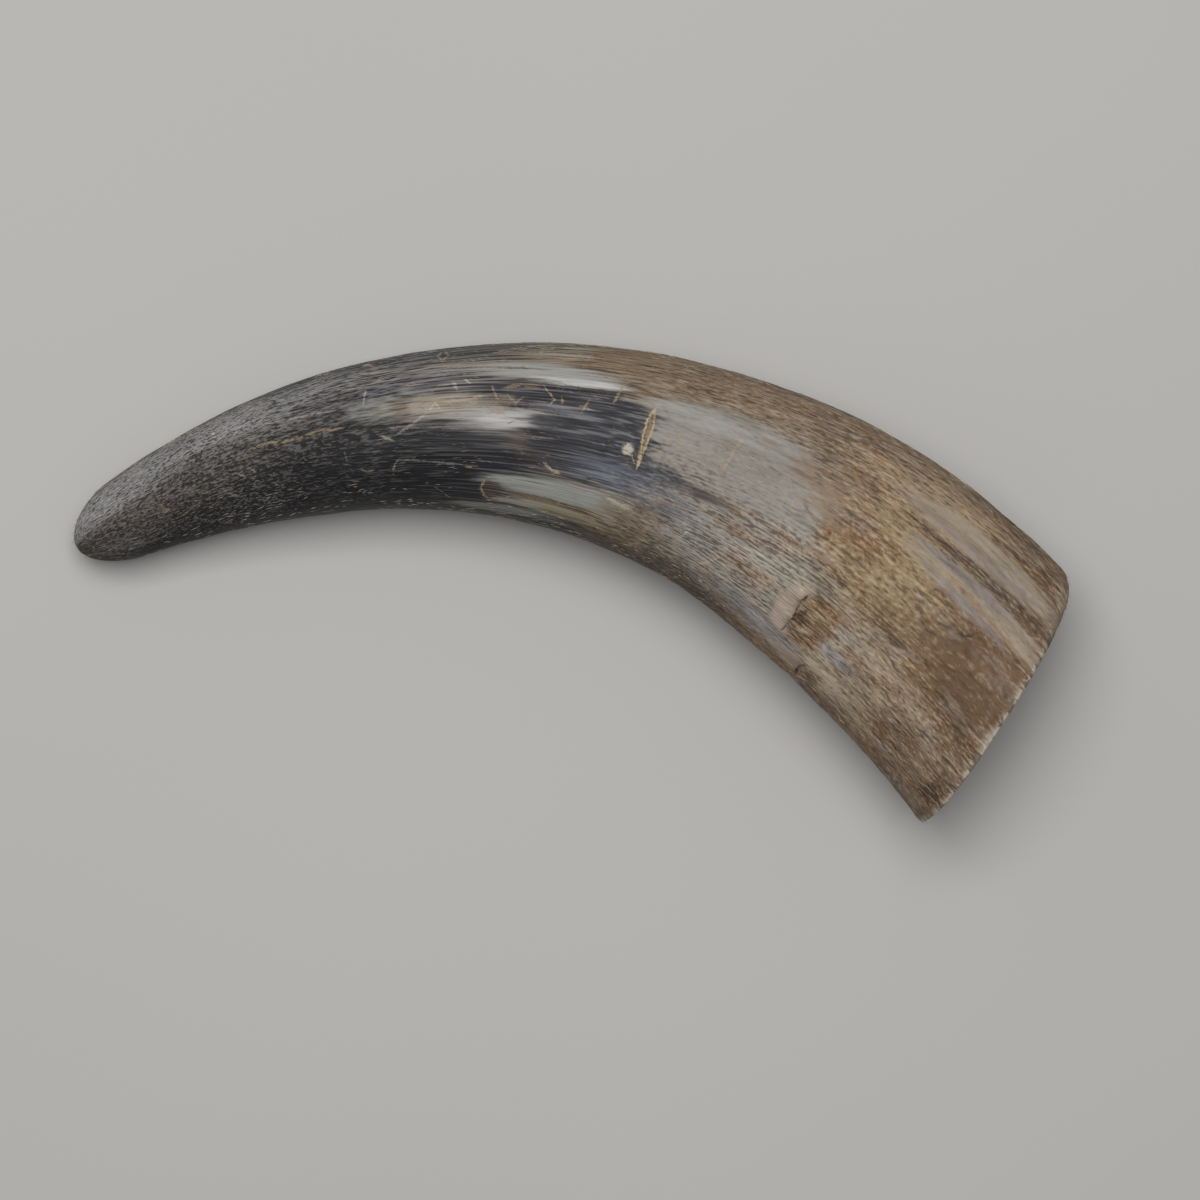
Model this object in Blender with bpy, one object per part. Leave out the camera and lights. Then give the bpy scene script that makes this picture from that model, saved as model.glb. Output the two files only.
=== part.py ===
"""A water buffalo's horn, sawn off at its base, lying on its side on the plane z = 0.

It is one piece of horn: a solid, blunt tip that widens along a bend of about 80 degrees, and a
hollow from which the bony core has been drawn, open at the slanting saw cut. Metres, +Z up. The
horn bends round -Y with its tip towards -X, and the origin is the middle of its box's underside.
"""

import math

import bmesh
import bpy
import numpy as np

# Driving dimensions.
ARC_LENGTH = 0.252  # along the middle of the horn, from the tip to the saw cut
BASE_HALF_WIDTH = 0.0331  # across the bend, at the saw cut
TIP_ROUNDING = 0.0142  # length over which the blunt tip closes
TIP_LIFT = 0.003  # the tip stands this much clear of the ground
LIFTED_SHARE = 0.30  # share of the length that curls up towards the tip
BELLY_RUB = 0.0004  # depth that lying and rubbing has worn off the underside
WALL = 0.0055  # thickness of the horn at the saw cut
HOLLOW_DEPTH = 0.090  # from the saw cut to the end of the hollow
HOLLOW_POINT = 0.7  # how the hollow narrows inwards: 0.5 is a round end and 1 is a cone
CUT_TURN = math.radians(-32.0)  # way the saw cut faces, seen from above
CUT_LEAN = math.radians(3.0)  # the top of the horn runs out further than its foot
RIM_EASING = 0.0007  # radius worn on the outer edge of the saw cut
BACK_EASING = 0.0040  # extra radius of that edge at the back of the bend

# The form at six stations, evenly spaced from the tip (0) to the saw cut (1).
STATIONS = np.linspace(0.0, 1.0, 6)
HEADING = np.radians([31.5, 17.4, 0.5, -18.8, -36.7, -49.6])  # way the horn runs, from above
WIDTH_SHARE = np.array([0.242, 0.456, 0.610, 0.767, 0.934, 1.0])  # of the base's half width
FLATNESS = np.array([0.96, 0.93, 0.88, 0.84, 0.81, 0.79])  # height over width

SQUARENESS = 2.25  # exponent of the section's outline: 2 is an ellipse
SHOULDER = 0.022  # how far the back of the bend stands out above, as a share of the radius
SHOULDER_AT = math.radians(38.0)

# Fineness of the faceted solid.
AROUND = 44
TIP_RINGS = 7
BODY_RINGS = 36
EASING_RINGS = 3
HOLLOW_RINGS = 18
CURVE_STEPS = 400
CURVE_END = 1.15  # the middle line runs on past the cut, which slants across it
CUT_SEARCH = (0.8, CURVE_END)  # shares of the length between which the cut lies
CUT_HALVINGS = 40
SLANT_POWER = 3  # how late the rings lean over to lie along the cut

HORN_COLOUR = (0.27, 0.22, 0.16, 1.0)
HORN_ROUGHNESS = 0.6


def smooth(values, share):
    """The station values joined by a Catmull-Rom curve, at any share of the length."""
    last = len(STATIONS) - 1
    at = np.asarray(share, float) * last
    first = np.clip(np.floor(at).astype(int), 0, last - 1)
    u = at - first
    ends = np.concatenate([[2 * values[0] - values[1]], values, [2 * values[-1] - values[-2]]])
    p0, p1, p2, p3 = (ends[first + k] for k in range(4))
    cubic = 3 * (p1 - p2) + p3 - p0
    square = 2 * p0 - 5 * p1 + 4 * p2 - p3
    bent = p1 + 0.5 * u * (p2 - p0 + u * (square + u * cubic))
    return np.where(at > last, values[-1] + (at - last) * (values[-1] - values[-2]), bent)


def rounding(share):
    """How far the blunt tip has opened, from 0 at its end to 1."""
    gone = np.clip(np.asarray(share, float) * ARC_LENGTH / TIP_ROUNDING, 0.0, 1.0)
    return np.sqrt(1.0 - (1.0 - gone) ** 2)


def half_width(share):
    """Half the width across the bend, before the tip's rounding."""
    return BASE_HALF_WIDTH * smooth(WIDTH_SHARE, np.minimum(share, 1.0))


def half_height(share):
    """Half the height, before the tip's rounding."""
    return half_width(share) * smooth(FLATNESS, np.minimum(share, 1.0))


def middle_line(share):
    """Points (x, y, z) on the middle of the horn, with the tip's end at x = y = 0."""
    steps = np.linspace(0.0, CURVE_END, CURVE_STEPS)
    heading = smooth(HEADING, steps)
    stride = ARC_LENGTH * (steps[1] - steps[0])
    x = np.concatenate([[0.0], np.cumsum(np.cos((heading[1:] + heading[:-1]) / 2))]) * stride
    y = np.concatenate([[0.0], np.cumsum(np.sin((heading[1:] + heading[:-1]) / 2))]) * stride
    curl = TIP_LIFT * np.clip(1.0 - np.asarray(share) / LIFTED_SHARE, 0.0, 1.0) ** 2
    z = half_height(share) - BELLY_RUB + curl
    return np.stack([np.interp(share, steps, x), np.interp(share, steps, y), z], axis=-1)


def across(share):
    """Level unit vectors square to the horn, pointing to the back of its bend."""
    heading = smooth(HEADING, share)
    return np.stack([-np.sin(heading), np.cos(heading), np.zeros_like(heading)], axis=-1)


def section(turn):
    """The section's outline at these angles, as shares of half the width and half the height.

    Angle 0 is the back of the bend and a quarter turn is the top.
    """
    power = 2.0 / SQUARENESS
    side = np.sign(np.cos(turn)) * np.abs(np.cos(turn)) ** power
    up = np.sign(np.sin(turn)) * np.abs(np.sin(turn)) ** power
    swell = 1.0 + SHOULDER * np.cos(turn - SHOULDER_AT) * np.clip(np.sin(turn), 0.0, 1.0)
    return side * swell, up * swell


def on_skin(share, turn, width, height):
    """Points at these shares of the length and angles, on the horn or on a smaller one inside."""
    side, up = section(turn)
    lift = np.array([0.0, 0.0, 1.0])
    sideways = (side * width(share))[..., None] * across(share)
    return middle_line(share) + sideways + (up * height(share))[..., None] * lift


def outer_width(share):
    """Half the horn's width, its rounded tip included."""
    return half_width(share) * rounding(share)


def outer_height(share):
    """Half the horn's height, its rounded tip included."""
    return half_height(share) * rounding(share)


def depth_share(share):
    """How far into the hollow a share of the horn's length is: 0 at the cut, 1 at its end."""
    return np.clip((1.0 - np.asarray(share)) * ARC_LENGTH / HOLLOW_DEPTH, 0.0, 1.0)


def hollow_scale(share):
    """Size of the hollow against the space inside an even wall."""
    return (1.0 - depth_share(share)) ** HOLLOW_POINT


def hollow_width(share):
    """Half the hollow's width."""
    return (half_width(share) - WALL) * hollow_scale(share)


def hollow_height(share):
    """Half the hollow's height."""
    return (half_height(share) - WALL) * hollow_scale(share)


def cut_facing():
    """The way the saw cut faces."""
    level = math.cos(CUT_LEAN)
    return np.array([level * math.cos(CUT_TURN), level * math.sin(CUT_TURN), -math.sin(CUT_LEAN)])


def share_at_cut(turn, width, height):
    """The share of the length at which each line along the horn meets the saw cut, by halving."""
    centre = middle_line(np.array(1.0))
    near, far = (np.full_like(turn, share) for share in CUT_SEARCH)
    for _ in range(CUT_HALVINGS):
        middle = (near + far) / 2
        beyond = (on_skin(middle, turn, width, height) - centre) @ cut_facing() > 0
        near, far = np.where(beyond, near, middle), np.where(beyond, middle, far)
    return (near + far) / 2


def outer_rings(turn):
    """Rings from the tip towards the cut, square to the horn at first and slanting at last."""
    tip_share = TIP_ROUNDING / ARC_LENGTH
    opening = 1.0 - np.cos(np.arange(1, TIP_RINGS) / TIP_RINGS * math.pi / 2)
    shares = np.concatenate([tip_share * opening, np.linspace(tip_share, 1.0, BODY_RINGS)[:-1]])
    slant = share_at_cut(turn, outer_width, outer_height) - 1.0
    ends = [share + slant * share**SLANT_POWER for share in shares]
    return [on_skin(end, turn, outer_width, outer_height) for end in ends]


def eased_rings(turn):
    """Rings round the worn outer edge of the saw cut, a quarter of a circle in all."""
    radius = RIM_EASING + BACK_EASING * np.clip(np.cos(turn), 0.0, 1.0) ** 2
    end = share_at_cut(turn, outer_width, outer_height)
    inward = middle_line(np.array(1.0)) - on_skin(end, turn, outer_width, outer_height)
    inward /= np.linalg.norm(inward, axis=1)[:, None]
    rings = []
    for bent in np.arange(EASING_RINGS) / (EASING_RINGS - 1) * math.pi / 2:
        at = end - radius * (1.0 - math.sin(bent)) / ARC_LENGTH
        rim = on_skin(at, turn, outer_width, outer_height)
        rings.append(rim + inward * (radius * (1.0 - math.cos(bent)))[:, None])
    return rings


def hollow_rings(turn):
    """Rings from the cut's inner edge in to the rounded end of the hollow."""
    closing = np.sin(np.arange(HOLLOW_RINGS) / HOLLOW_RINGS * math.pi / 2)
    slant = share_at_cut(turn, hollow_width, hollow_height) - 1.0
    shares = 1.0 - closing * HOLLOW_DEPTH / ARC_LENGTH
    ends = [share + slant * (1.0 - depth_share(share)) for share in shares]
    return [on_skin(end, turn, hollow_width, hollow_height) for end in ends]


def skin(mesh, rings, first, last):
    """Joins the rings with bands of four-sided faces, and closes both ends with fans."""
    loops = [[mesh.verts.new(point) for point in ring] for ring in rings]
    ends = mesh.verts.new(first), mesh.verts.new(last)
    for lower, upper in zip(loops, loops[1:]):
        for k in range(AROUND):
            after = (k + 1) % AROUND
            mesh.faces.new((lower[k], lower[after], upper[after], upper[k]))
    for k in range(AROUND):
        after = (k + 1) % AROUND
        mesh.faces.new((ends[0], loops[0][after], loops[0][k]))
        mesh.faces.new((ends[1], loops[-1][k], loops[-1][after]))


def rest_on_ground(mesh):
    """Wears the underside flat at z = 0 and centres the horn's box over the origin."""
    for vertex in mesh.verts:
        vertex.co.z = max(vertex.co.z, 0.0)
    for axis in (0, 1):
        places = [vertex.co[axis] for vertex in mesh.verts]
        middle = (min(places) + max(places)) / 2
        for vertex in mesh.verts:
            vertex.co[axis] -= middle


def horn_material():
    """Brown-grey horn, dull where it has been rasped."""
    material = bpy.data.materials.new("horn")
    material.use_nodes = True
    surface = material.node_tree.nodes["Principled BSDF"]
    surface.inputs["Base Color"].default_value = HORN_COLOUR
    surface.inputs["Roughness"].default_value = HORN_ROUGHNESS
    surface.inputs["Metallic"].default_value = 0.0
    return material


def build_horn():
    """The whole horn as one named object."""
    turn = -math.pi / 2 + np.arange(AROUND) * 2 * math.pi / AROUND
    rings = outer_rings(turn) + eased_rings(turn) + hollow_rings(turn)
    tip_end = middle_line(np.array(0.0))
    hollow_end = middle_line(np.array(1.0 - HOLLOW_DEPTH / ARC_LENGTH))
    mesh = bmesh.new()
    skin(mesh, rings, tip_end, hollow_end)
    rest_on_ground(mesh)
    bmesh.ops.recalc_face_normals(mesh, faces=mesh.faces)
    data = bpy.data.meshes.new("horn")
    mesh.to_mesh(data)
    mesh.free()
    data.shade_smooth()
    data.set_sharp_from_angle(angle=math.radians(40.0))
    data.materials.append(horn_material())
    horn = bpy.data.objects.new("horn", data)
    bpy.context.scene.collection.objects.link(horn)
    return horn


for leftover in list(bpy.data.objects):
    bpy.data.objects.remove(leftover)
build_horn()
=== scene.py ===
"""Buffalo horn: a weathered horn sawn off at its base, lying on its side on a pale floor."""

import logging
import math
from abc import ABC, abstractmethod
from collections.abc import Mapping
from dataclasses import dataclass, field
from enum import Enum
from functools import cache

import bpy
import numpy as np
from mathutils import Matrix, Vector


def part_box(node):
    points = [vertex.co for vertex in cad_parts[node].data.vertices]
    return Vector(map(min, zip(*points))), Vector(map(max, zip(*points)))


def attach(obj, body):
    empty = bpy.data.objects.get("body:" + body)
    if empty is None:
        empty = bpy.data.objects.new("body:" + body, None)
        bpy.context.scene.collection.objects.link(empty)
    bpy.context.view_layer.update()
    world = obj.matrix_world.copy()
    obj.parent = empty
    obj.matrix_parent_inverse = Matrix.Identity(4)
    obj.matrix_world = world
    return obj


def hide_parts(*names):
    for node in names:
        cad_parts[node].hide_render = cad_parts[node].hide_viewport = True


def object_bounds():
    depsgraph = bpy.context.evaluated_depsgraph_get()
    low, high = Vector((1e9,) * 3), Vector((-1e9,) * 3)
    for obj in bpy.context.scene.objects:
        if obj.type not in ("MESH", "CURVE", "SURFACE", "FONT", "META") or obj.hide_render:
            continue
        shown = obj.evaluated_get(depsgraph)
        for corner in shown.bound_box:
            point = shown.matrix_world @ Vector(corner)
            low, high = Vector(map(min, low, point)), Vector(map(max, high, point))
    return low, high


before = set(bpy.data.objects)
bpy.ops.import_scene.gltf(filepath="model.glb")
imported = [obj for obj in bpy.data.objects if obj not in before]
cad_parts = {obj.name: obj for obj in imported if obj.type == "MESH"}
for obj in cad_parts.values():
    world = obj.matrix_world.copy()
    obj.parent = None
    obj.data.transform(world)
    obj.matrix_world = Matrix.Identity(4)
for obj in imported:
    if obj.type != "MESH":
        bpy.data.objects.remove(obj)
CAD_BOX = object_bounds()
LOG = logging.getLogger("horn")

MM = 0.001

# Names of the values kept on the horn's surface and along its middle line.
SKIN_MAP = "skin_map"
BAKE_MAP = "OFBake"
GRAIN = "grain"
SIZE = "size"
RELIEF = "relief"
LENGTHWISE = "lengthwise"
CALM = "calm"
STRIP = "strip"

# Where the tip's finish ends, and how far a frayed mark can reach past its own ends, in millimetres.
TIP_END = 128.0
FRAY_REACH = 16.0

# The horn's radius at the end of the tip in millimetres, and how much it grows for each one along.
TIP_RADIUS = 8.0
TAPER = 0.09

# How far the pieces of a stroke lap over, and how much fainter strokes are than their own figure.
OVERLAP = 1.2
FADED = 0.8

Triple = tuple[float, float, float]
Span = tuple[float, float]


class Edge(Enum):
    """How the edge of a mark runs."""

    FRAYED = "drawn out along the grain"
    TORN = "broken and uneven"
    CHIPPED = "straight but broken"
    CLEAN = "smooth"


class Strip(Enum):
    """The bands of surface that close the horn. The skin has a finish of its own at the tip."""

    SKIN = 0
    SAWN = 1
    HOLLOW = 2
    TIP = 3


def paint(code: str) -> tuple[float, float, float, float]:
    """Turns a six-letter colour code into the linear colour that shaders use.

    Args:
        code: Red, green and blue as two hexadecimal letters each.

    Returns:
        Red, green, blue and a full alpha.
    """
    shares = [int(code[k:k + 2], 16) / 255 for k in (0, 2, 4)]
    linear = [s / 12.92 if s <= 0.04045 else ((s + 0.055) / 1.055) ** 2.4 for s in shares]
    return (*linear, 1.0)


@dataclass(frozen=True)
class Wire:
    """One output of a node, which adds and multiplies as a number or a vector does."""

    graph: "Graph"
    socket: bpy.types.NodeSocket

    def __add__(self, other: "Value") -> "Wire":
        """Sum with another value."""
        return self.graph.combined("ADD", self, other)

    __radd__ = __add__

    def __sub__(self, other: "Value") -> "Wire":
        """Difference from another value."""
        return self.graph.combined("SUBTRACT", self, other)

    def __rsub__(self, other: "Value") -> "Wire":
        """Another value less this one."""
        return self.graph.combined("SUBTRACT", other, self)

    def __mul__(self, other: "Value") -> "Wire":
        """Product with another value."""
        return self.graph.combined("MULTIPLY", self, other)

    def __truediv__(self, other: "Value") -> "Wire":
        """Quotient by another value."""
        return self.graph.combined("DIVIDE", self, other)

    def __pow__(self, power: "Value") -> "Wire":
        """This value raised to a power."""
        return self.graph.math("POWER", self, power)


Value = Wire | float | tuple[float, ...]


@dataclass(frozen=True)
class Graph:
    """A node tree, for shaders or for geometry, with short ways to add its nodes."""

    tree: bpy.types.NodeTree

    def node(
        self, kind: str, inputs: Mapping[int | str, object] | None = None, **choices: object
    ) -> bpy.types.Node:
        """Adds a node.

        Args:
            kind: The node's type name.
            inputs: A value or a wire for each input, by name or number.
            **choices: The node's own settings.

        Returns:
            The new node.
        """
        made = self.tree.nodes.new(kind)
        for name, choice in choices.items():
            setattr(made, name, choice)
        for key, value in (inputs or {}).items():
            self.feed(value, made.inputs[key])
        return made

    def feed(self, value: object, socket: bpy.types.NodeSocket) -> None:
        """Links a wire to an input, or sets the input's own value.

        Args:
            value: The wire or the value.
            socket: The input.
        """
        if isinstance(value, Wire):
            self.tree.links.new(value.socket, socket)
        else:
            socket.default_value = value

    def out(self, node: bpy.types.Node, key: int | str = 0) -> Wire:
        """One output of a node as a wire."""
        return Wire(self, node.outputs[key])

    def math(self, operation: str, *values: Value, clamp: bool = False) -> Wire:
        """One step of arithmetic on numbers."""
        inputs = dict(enumerate(values))
        return self.out(self.node("ShaderNodeMath", inputs, operation=operation, use_clamp=clamp))

    def vector(self, operation: str, *values: Value, out: int = 0) -> Wire:
        """One step of arithmetic on vectors."""
        inputs = dict(enumerate(values))
        return self.out(self.node("ShaderNodeVectorMath", inputs, operation=operation), out)

    def combined(self, operation: str, first: Value, second: Value) -> Wire:
        """Arithmetic on two numbers, two vectors, or a vector and a number.

        Args:
            operation: The operation's name.
            first: The first value.
            second: The second value.

        Returns:
            A number, or a vector if either value is one.
        """
        wide = [is_vector(first), is_vector(second)]
        if not any(wide):
            return self.math(operation, first, second)
        if operation == "MULTIPLY" and not all(wide):
            vector, number = (first, second) if wide[0] else (second, first)
            scaled = self.node("ShaderNodeVectorMath", {0: vector, "Scale": number}, operation="SCALE")
            return self.out(scaled)
        return self.vector(operation, first, second)

    def joined(self, x: Value, y: Value, z: Value = 0.0) -> Wire:
        """A vector from three numbers."""
        return self.out(self.node("ShaderNodeCombineXYZ", {0: x, 1: y, 2: z}))

    def parts(self, vector: Wire) -> tuple[Wire, Wire, Wire]:
        """The three numbers of a vector."""
        split = self.node("ShaderNodeSeparateXYZ", {0: vector})
        return self.out(split, 0), self.out(split, 1), self.out(split, 2)

    def step(
        self, value: Wire, low: Value, high: Value, start: Value = 0.0, end: Value = 1.0
    ) -> Wire:
        """Eases from start to end while a value goes from low to high."""
        inputs = {0: value, 1: low, 2: high, 3: start, 4: end}
        return self.out(self.node("ShaderNodeMapRange", inputs, interpolation_type="SMOOTHSTEP"))

    def mixed(self, factor: Value, first: Value, second: Value) -> Wire:
        """Blends two numbers, or two vectors.

        Args:
            factor: The share of the second value.
            first: The first value.
            second: The second value.

        Returns:
            The blend.
        """
        wide = is_vector(first) or is_vector(second)
        low, high = (4, 5) if wide else (2, 3)
        kind = "VECTOR" if wide else "FLOAT"
        node = self.node("ShaderNodeMix", {0: factor, low: first, high: second}, data_type=kind)
        return self.out(node, 1 if wide else 0)

    def tinted(self, factor: Value, first: object, second: object, blend: str = "MIX") -> Wire:
        """Blends two colours.

        Args:
            factor: The share of the second colour.
            first: The first colour.
            second: The second colour.
            blend: The way of blending them.

        Returns:
            The blend.
        """
        inputs = {0: factor, 6: first, 7: second}
        node = self.node("ShaderNodeMix", inputs, data_type="RGBA", blend_type=blend)
        return self.out(node, 2)

    def shaded(self, colour: Wire, doublings: Wire) -> Wire:
        """Makes a colour lighter or darker by a number of doublings."""
        value = self.math("POWER", 2.0, doublings)
        return self.tinted(1.0, colour, self.joined(value, value, value), "MULTIPLY")

    def group(self, tree: bpy.types.NodeTree, values: Mapping[str, Value]) -> list[Wire]:
        """Uses a group with these values, and gives a wire for each of its outputs.

        Args:
            tree: The group.
            values: A value or a wire for each of its inputs, by name.

        Returns:
            The outputs, in the group's own order.
        """
        kind = "ShaderNodeGroup" if tree.type == "SHADER" else "GeometryNodeGroup"
        node = self.node(kind, values, node_tree=tree)
        return [self.out(node, k) for k in range(len(node.outputs))]

    def kept(self, name: str, kind: str = "FLOAT_VECTOR") -> Wire:
        """A value kept on the surface under a name.

        Args:
            name: The name.
            kind: "FLOAT" for a number, "FLOAT_VECTOR" for a vector.

        Returns:
            The value.
        """
        if self.tree.type == "SHADER":
            node = self.node("ShaderNodeAttribute", attribute_name=name)
            return self.out(node, "Fac" if kind == "FLOAT" else "Vector")
        return self.out(self.node("GeometryNodeInputNamedAttribute", {"Name": name}, data_type=kind))

    def mapped(self, name: str) -> Wire:
        """A place on one of the surface's flat maps, in a shader."""
        return self.out(self.node("ShaderNodeUVMap", uv_map=name))

    def spot(self) -> Wire:
        """A place in space in metres, from the object's own origin.

        Returns:
            The place.
        """
        if self.tree.type == "SHADER":
            return self.out(self.node("ShaderNodeTexCoord"), "Object")
        return self.out(self.node("GeometryNodeInputPosition"))

    def bumped(self, height: Wire, strength: float = 1.0, reach: float = MM) -> Wire:
        """The way a shaded surface faces once a fine height tips it."""
        inputs = {"Strength": strength, "Distance": reach, "Height": height}
        return self.out(self.node("ShaderNodeBump", inputs))

    def changed(
        self, what: str, shape: Wire, values: Mapping[str, object] | None = None,
        into: str = "Geometry", **choices: object,
    ) -> Wire:
        """Passes geometry through one of the nodes that change it.

        Args:
            what: The node's type name after "GeometryNode".
            shape: The geometry.
            values: A value or a wire for each other input, by name.
            into: The name of the input that takes the geometry.
            **choices: The node's own settings.

        Returns:
            The changed geometry.
        """
        inputs = {into: shape, **(values or {})}
        return self.out(self.node("GeometryNode" + what, inputs, **choices))

    def is_strip(self, band: Wire, kind: Strip) -> Wire:
        """Whether a face lies in one of the bands, as 1 or 0."""
        return self.math("COMPARE", band, float(kind.value), 0.1)

    def noise(
        self, place: Value, detail: float = 2.0, rough: float = 0.5, out: int = 0
    ) -> Wire:
        """Smooth noise from 0 to 1, of size 1 in its place vector.

        Args:
            place: Where the noise is read.
            detail: How many finer layers it has.
            rough: How strong the finer layers are.
            out: 0 for one number, 1 for three.

        Returns:
            The noise.
        """
        inputs = {"Vector": place, "Scale": 1.0, "Detail": detail, "Roughness": rough}
        return self.out(self.node("ShaderNodeTexNoise", inputs), out)


def is_vector(value: Value) -> bool:
    """Whether a value has three parts.

    Args:
        value: The value.

    Returns:
        True for a vector or a colour.
    """
    if isinstance(value, Wire):
        return value.socket.type in ("VECTOR", "RGBA")
    return isinstance(value, tuple)


def new_group(
    name: str, kind: str, inputs: Mapping[str, float | str], outputs: Mapping[str, str]
) -> tuple[Graph, dict[str, Wire], bpy.types.Node]:
    """Makes an empty node group with named inputs and outputs.

    Args:
        name: The group's name.
        kind: The tree's type name.
        inputs: The first value of each number, or "Vector" or "Geometry", by name.
        outputs: "Float", "Vector" or "Geometry" for each output, by name.

    Returns:
        The group's graph, a wire for each input, and the group's output node.
    """
    tree = bpy.data.node_groups.new(name, kind)
    for label, value in inputs.items():
        what = value if isinstance(value, str) else type(value).__name__.title()
        socket = tree.interface.new_socket(label, in_out="INPUT", socket_type="NodeSocket" + what)
        if not isinstance(value, str):
            socket.default_value = value
    for label, what in outputs.items():
        tree.interface.new_socket(label, in_out="OUTPUT", socket_type="NodeSocket" + what)
    graph = Graph(tree)
    source = graph.node("NodeGroupInput")
    wires = {label: graph.out(source, label) for label in inputs}
    return graph, wires, graph.node("NodeGroupOutput")


def grown_from(
    bed: bpy.types.Object, tree: bpy.types.NodeTree, given: Mapping[str, object], name: str
) -> bpy.types.Object:
    """Runs a geometry tree on an object, and keeps the result as a plain mesh instead of it.

    Args:
        bed: The object to run it on, which is used up.
        tree: The tree.
        given: Values for some of the tree's inputs, by name.
        name: The new object's name.

    Returns:
        The new object.
    """
    bpy.context.scene.collection.objects.link(bed)
    modifier = bed.modifiers.new(name, "NODES")
    modifier.node_group = tree
    for item in tree.interface.items_tree:
        if item.in_out == "INPUT" and item.name in given:
            modifier[item.identifier] = given[item.name]
    seen = bpy.context.evaluated_depsgraph_get()
    mesh = bpy.data.meshes.new_from_object(
        bed.evaluated_get(seen), preserve_all_data_layers=True, depsgraph=seen
    )
    bed.modifiers.remove(modifier)
    bpy.data.objects.remove(bed)
    mesh.materials.pop(index=0)
    mesh.name = name
    made = bpy.data.objects.new(name, mesh)
    bpy.context.scene.collection.objects.link(made)
    return made


@dataclass(frozen=True)
class Mottle:
    """Soft noise with a size of its own along and around the horn."""

    scale: Triple
    shift: Triple = (0.0, 0.0, 0.0)
    detail: float = 3.0
    rough: float = 0.6

    def over(self, graph: Graph, place: Wire) -> Wire:
        """The noise at each place, from 0 to 1.

        Args:
            graph: The tree to work in.
            place: Where the noise is read.

        Returns:
            The noise.
        """
        scaled = place * self.scale
        if any(self.shift):
            scaled = scaled + self.shift
        return graph.noise(scaled, self.detail, self.rough)

    def about_zero(self, graph: Graph, place: Wire) -> Wire:
        """The noise at each place, from -0.5 to 0.5."""
        return self.over(graph, place) - 0.5


@dataclass(frozen=True)
class HornForm:
    """The horn's shape: its bent middle line, its section along it, its saw cut and its hollow."""

    length: float = 0.252
    base_half_width: float = 0.0331
    tip_rounding: float = 0.0142
    tip_lift: float = 0.003
    lifted_share: float = 0.30
    belly_rub: float = 0.0004
    wall: float = 0.0055
    hollow_depth: float = 0.090
    hollow_point: float = 0.7
    cut_turn: float = math.radians(-32.0)
    cut_lean: float = math.radians(3.0)
    rim_easing: float = 0.0007
    back_easing: float = 0.0040
    squareness: float = 2.25
    shoulder: float = 0.022
    shoulder_at: float = math.radians(38.0)
    curve_end: float = 1.15
    curve_steps: int = 400
    heading: tuple[float, ...] = (31.5, 17.4, 0.5, -18.8, -36.7, -49.6)
    width_share: tuple[float, ...] = (0.242, 0.456, 0.610, 0.767, 0.934, 1.0)
    flatness: tuple[float, ...] = (0.96, 0.93, 0.88, 0.84, 0.81, 0.79)

    def smooth(self, values: tuple[float, ...], share: np.ndarray) -> np.ndarray:
        """Runs a smooth curve through even stations along the horn.

        Args:
            values: The value at each station.
            share: Shares of the length, which may pass the last station.

        Returns:
            The value at each share.
        """
        given = np.array(values)
        last = len(given) - 1
        at = share * last
        first = np.clip(np.floor(at).astype(int), 0, last - 1)
        u = at - first
        ends = np.concatenate([[2 * given[0] - given[1]], given, [2 * given[-1] - given[-2]]])
        p0, p1, p2, p3 = (ends[first + k] for k in range(4))
        cubic = 3 * (p1 - p2) + p3 - p0
        square = 2 * p0 - 5 * p1 + 4 * p2 - p3
        bent = p1 + 0.5 * u * (p2 - p0 + u * (square + u * cubic))
        return np.where(at > last, given[-1] + (at - last) * (given[-1] - given[-2]), bent)

    def middle_line(self) -> tuple[np.ndarray, np.ndarray]:
        """Lays out the middle line seen from above, from the tip's end to past the saw cut.

        Returns:
            Its points, and at each the half width, the half height and the height of the middle.
        """
        steps = np.linspace(0.0, self.curve_end, self.curve_steps)
        heading = np.radians(self.smooth(self.heading, steps))
        turn = (heading[1:] + heading[:-1]) / 2
        stride = self.length * (steps[1] - steps[0])
        x = np.concatenate([[0.0], np.cumsum(np.cos(turn))]) * stride
        y = np.concatenate([[0.0], np.cumsum(np.sin(turn))]) * stride
        held = np.minimum(steps, 1.0)
        half_width = self.base_half_width * self.smooth(self.width_share, held)
        half_height = half_width * self.smooth(self.flatness, held)
        curl = self.tip_lift * np.clip(1.0 - steps / self.lifted_share, 0.0, 1.0) ** 2
        middle = half_height - self.belly_rub + curl
        points = np.stack([x, y, np.zeros_like(x)], axis=-1)
        return points, np.stack([half_width, half_height, middle], axis=-1)

    def cut_facing(self) -> Vector:
        """The way the saw cut faces.

        Returns:
            A direction of length 1.
        """
        level = math.cos(self.cut_lean)
        side = math.sin(self.cut_turn)
        return Vector((level * math.cos(self.cut_turn), level * side, -math.sin(self.cut_lean)))


@dataclass(frozen=True)
class Mark:
    """One patch, streak, scratch or nick in the skin.

    Places along the horn are in millimetres from the end of the tip. Places around it are in
    degrees from the back of the bend, with the top at 90.
    """

    along: Span
    around: Span
    colour: str = ""
    strength: float = 1.0
    soft: float = 0.5
    lean: float = 0.0
    slant: float = 0.0
    edge: Edge = Edge.FRAYED
    depth: float = 0.0
    calm: float | None = None

    def rows(self) -> tuple[Triple, Triple, Triple]:
        """Works out the mark's own frame.

        Returns:
            Its middle, and the two rows that turn an offset from it into shares of its half sizes.
        """
        middle = (sum(self.along) / 2, sum(self.around) / 2, 0.0)
        length = (self.along[1] - self.along[0]) / 2
        width = (self.around[1] - self.around[0]) / 2
        return (
            middle,
            (1 / length, -self.slant / length, 0.0),
            (-self.lean / width, 1 / width, 0.0),
        )


Marks = tuple[Mark, ...]


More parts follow.
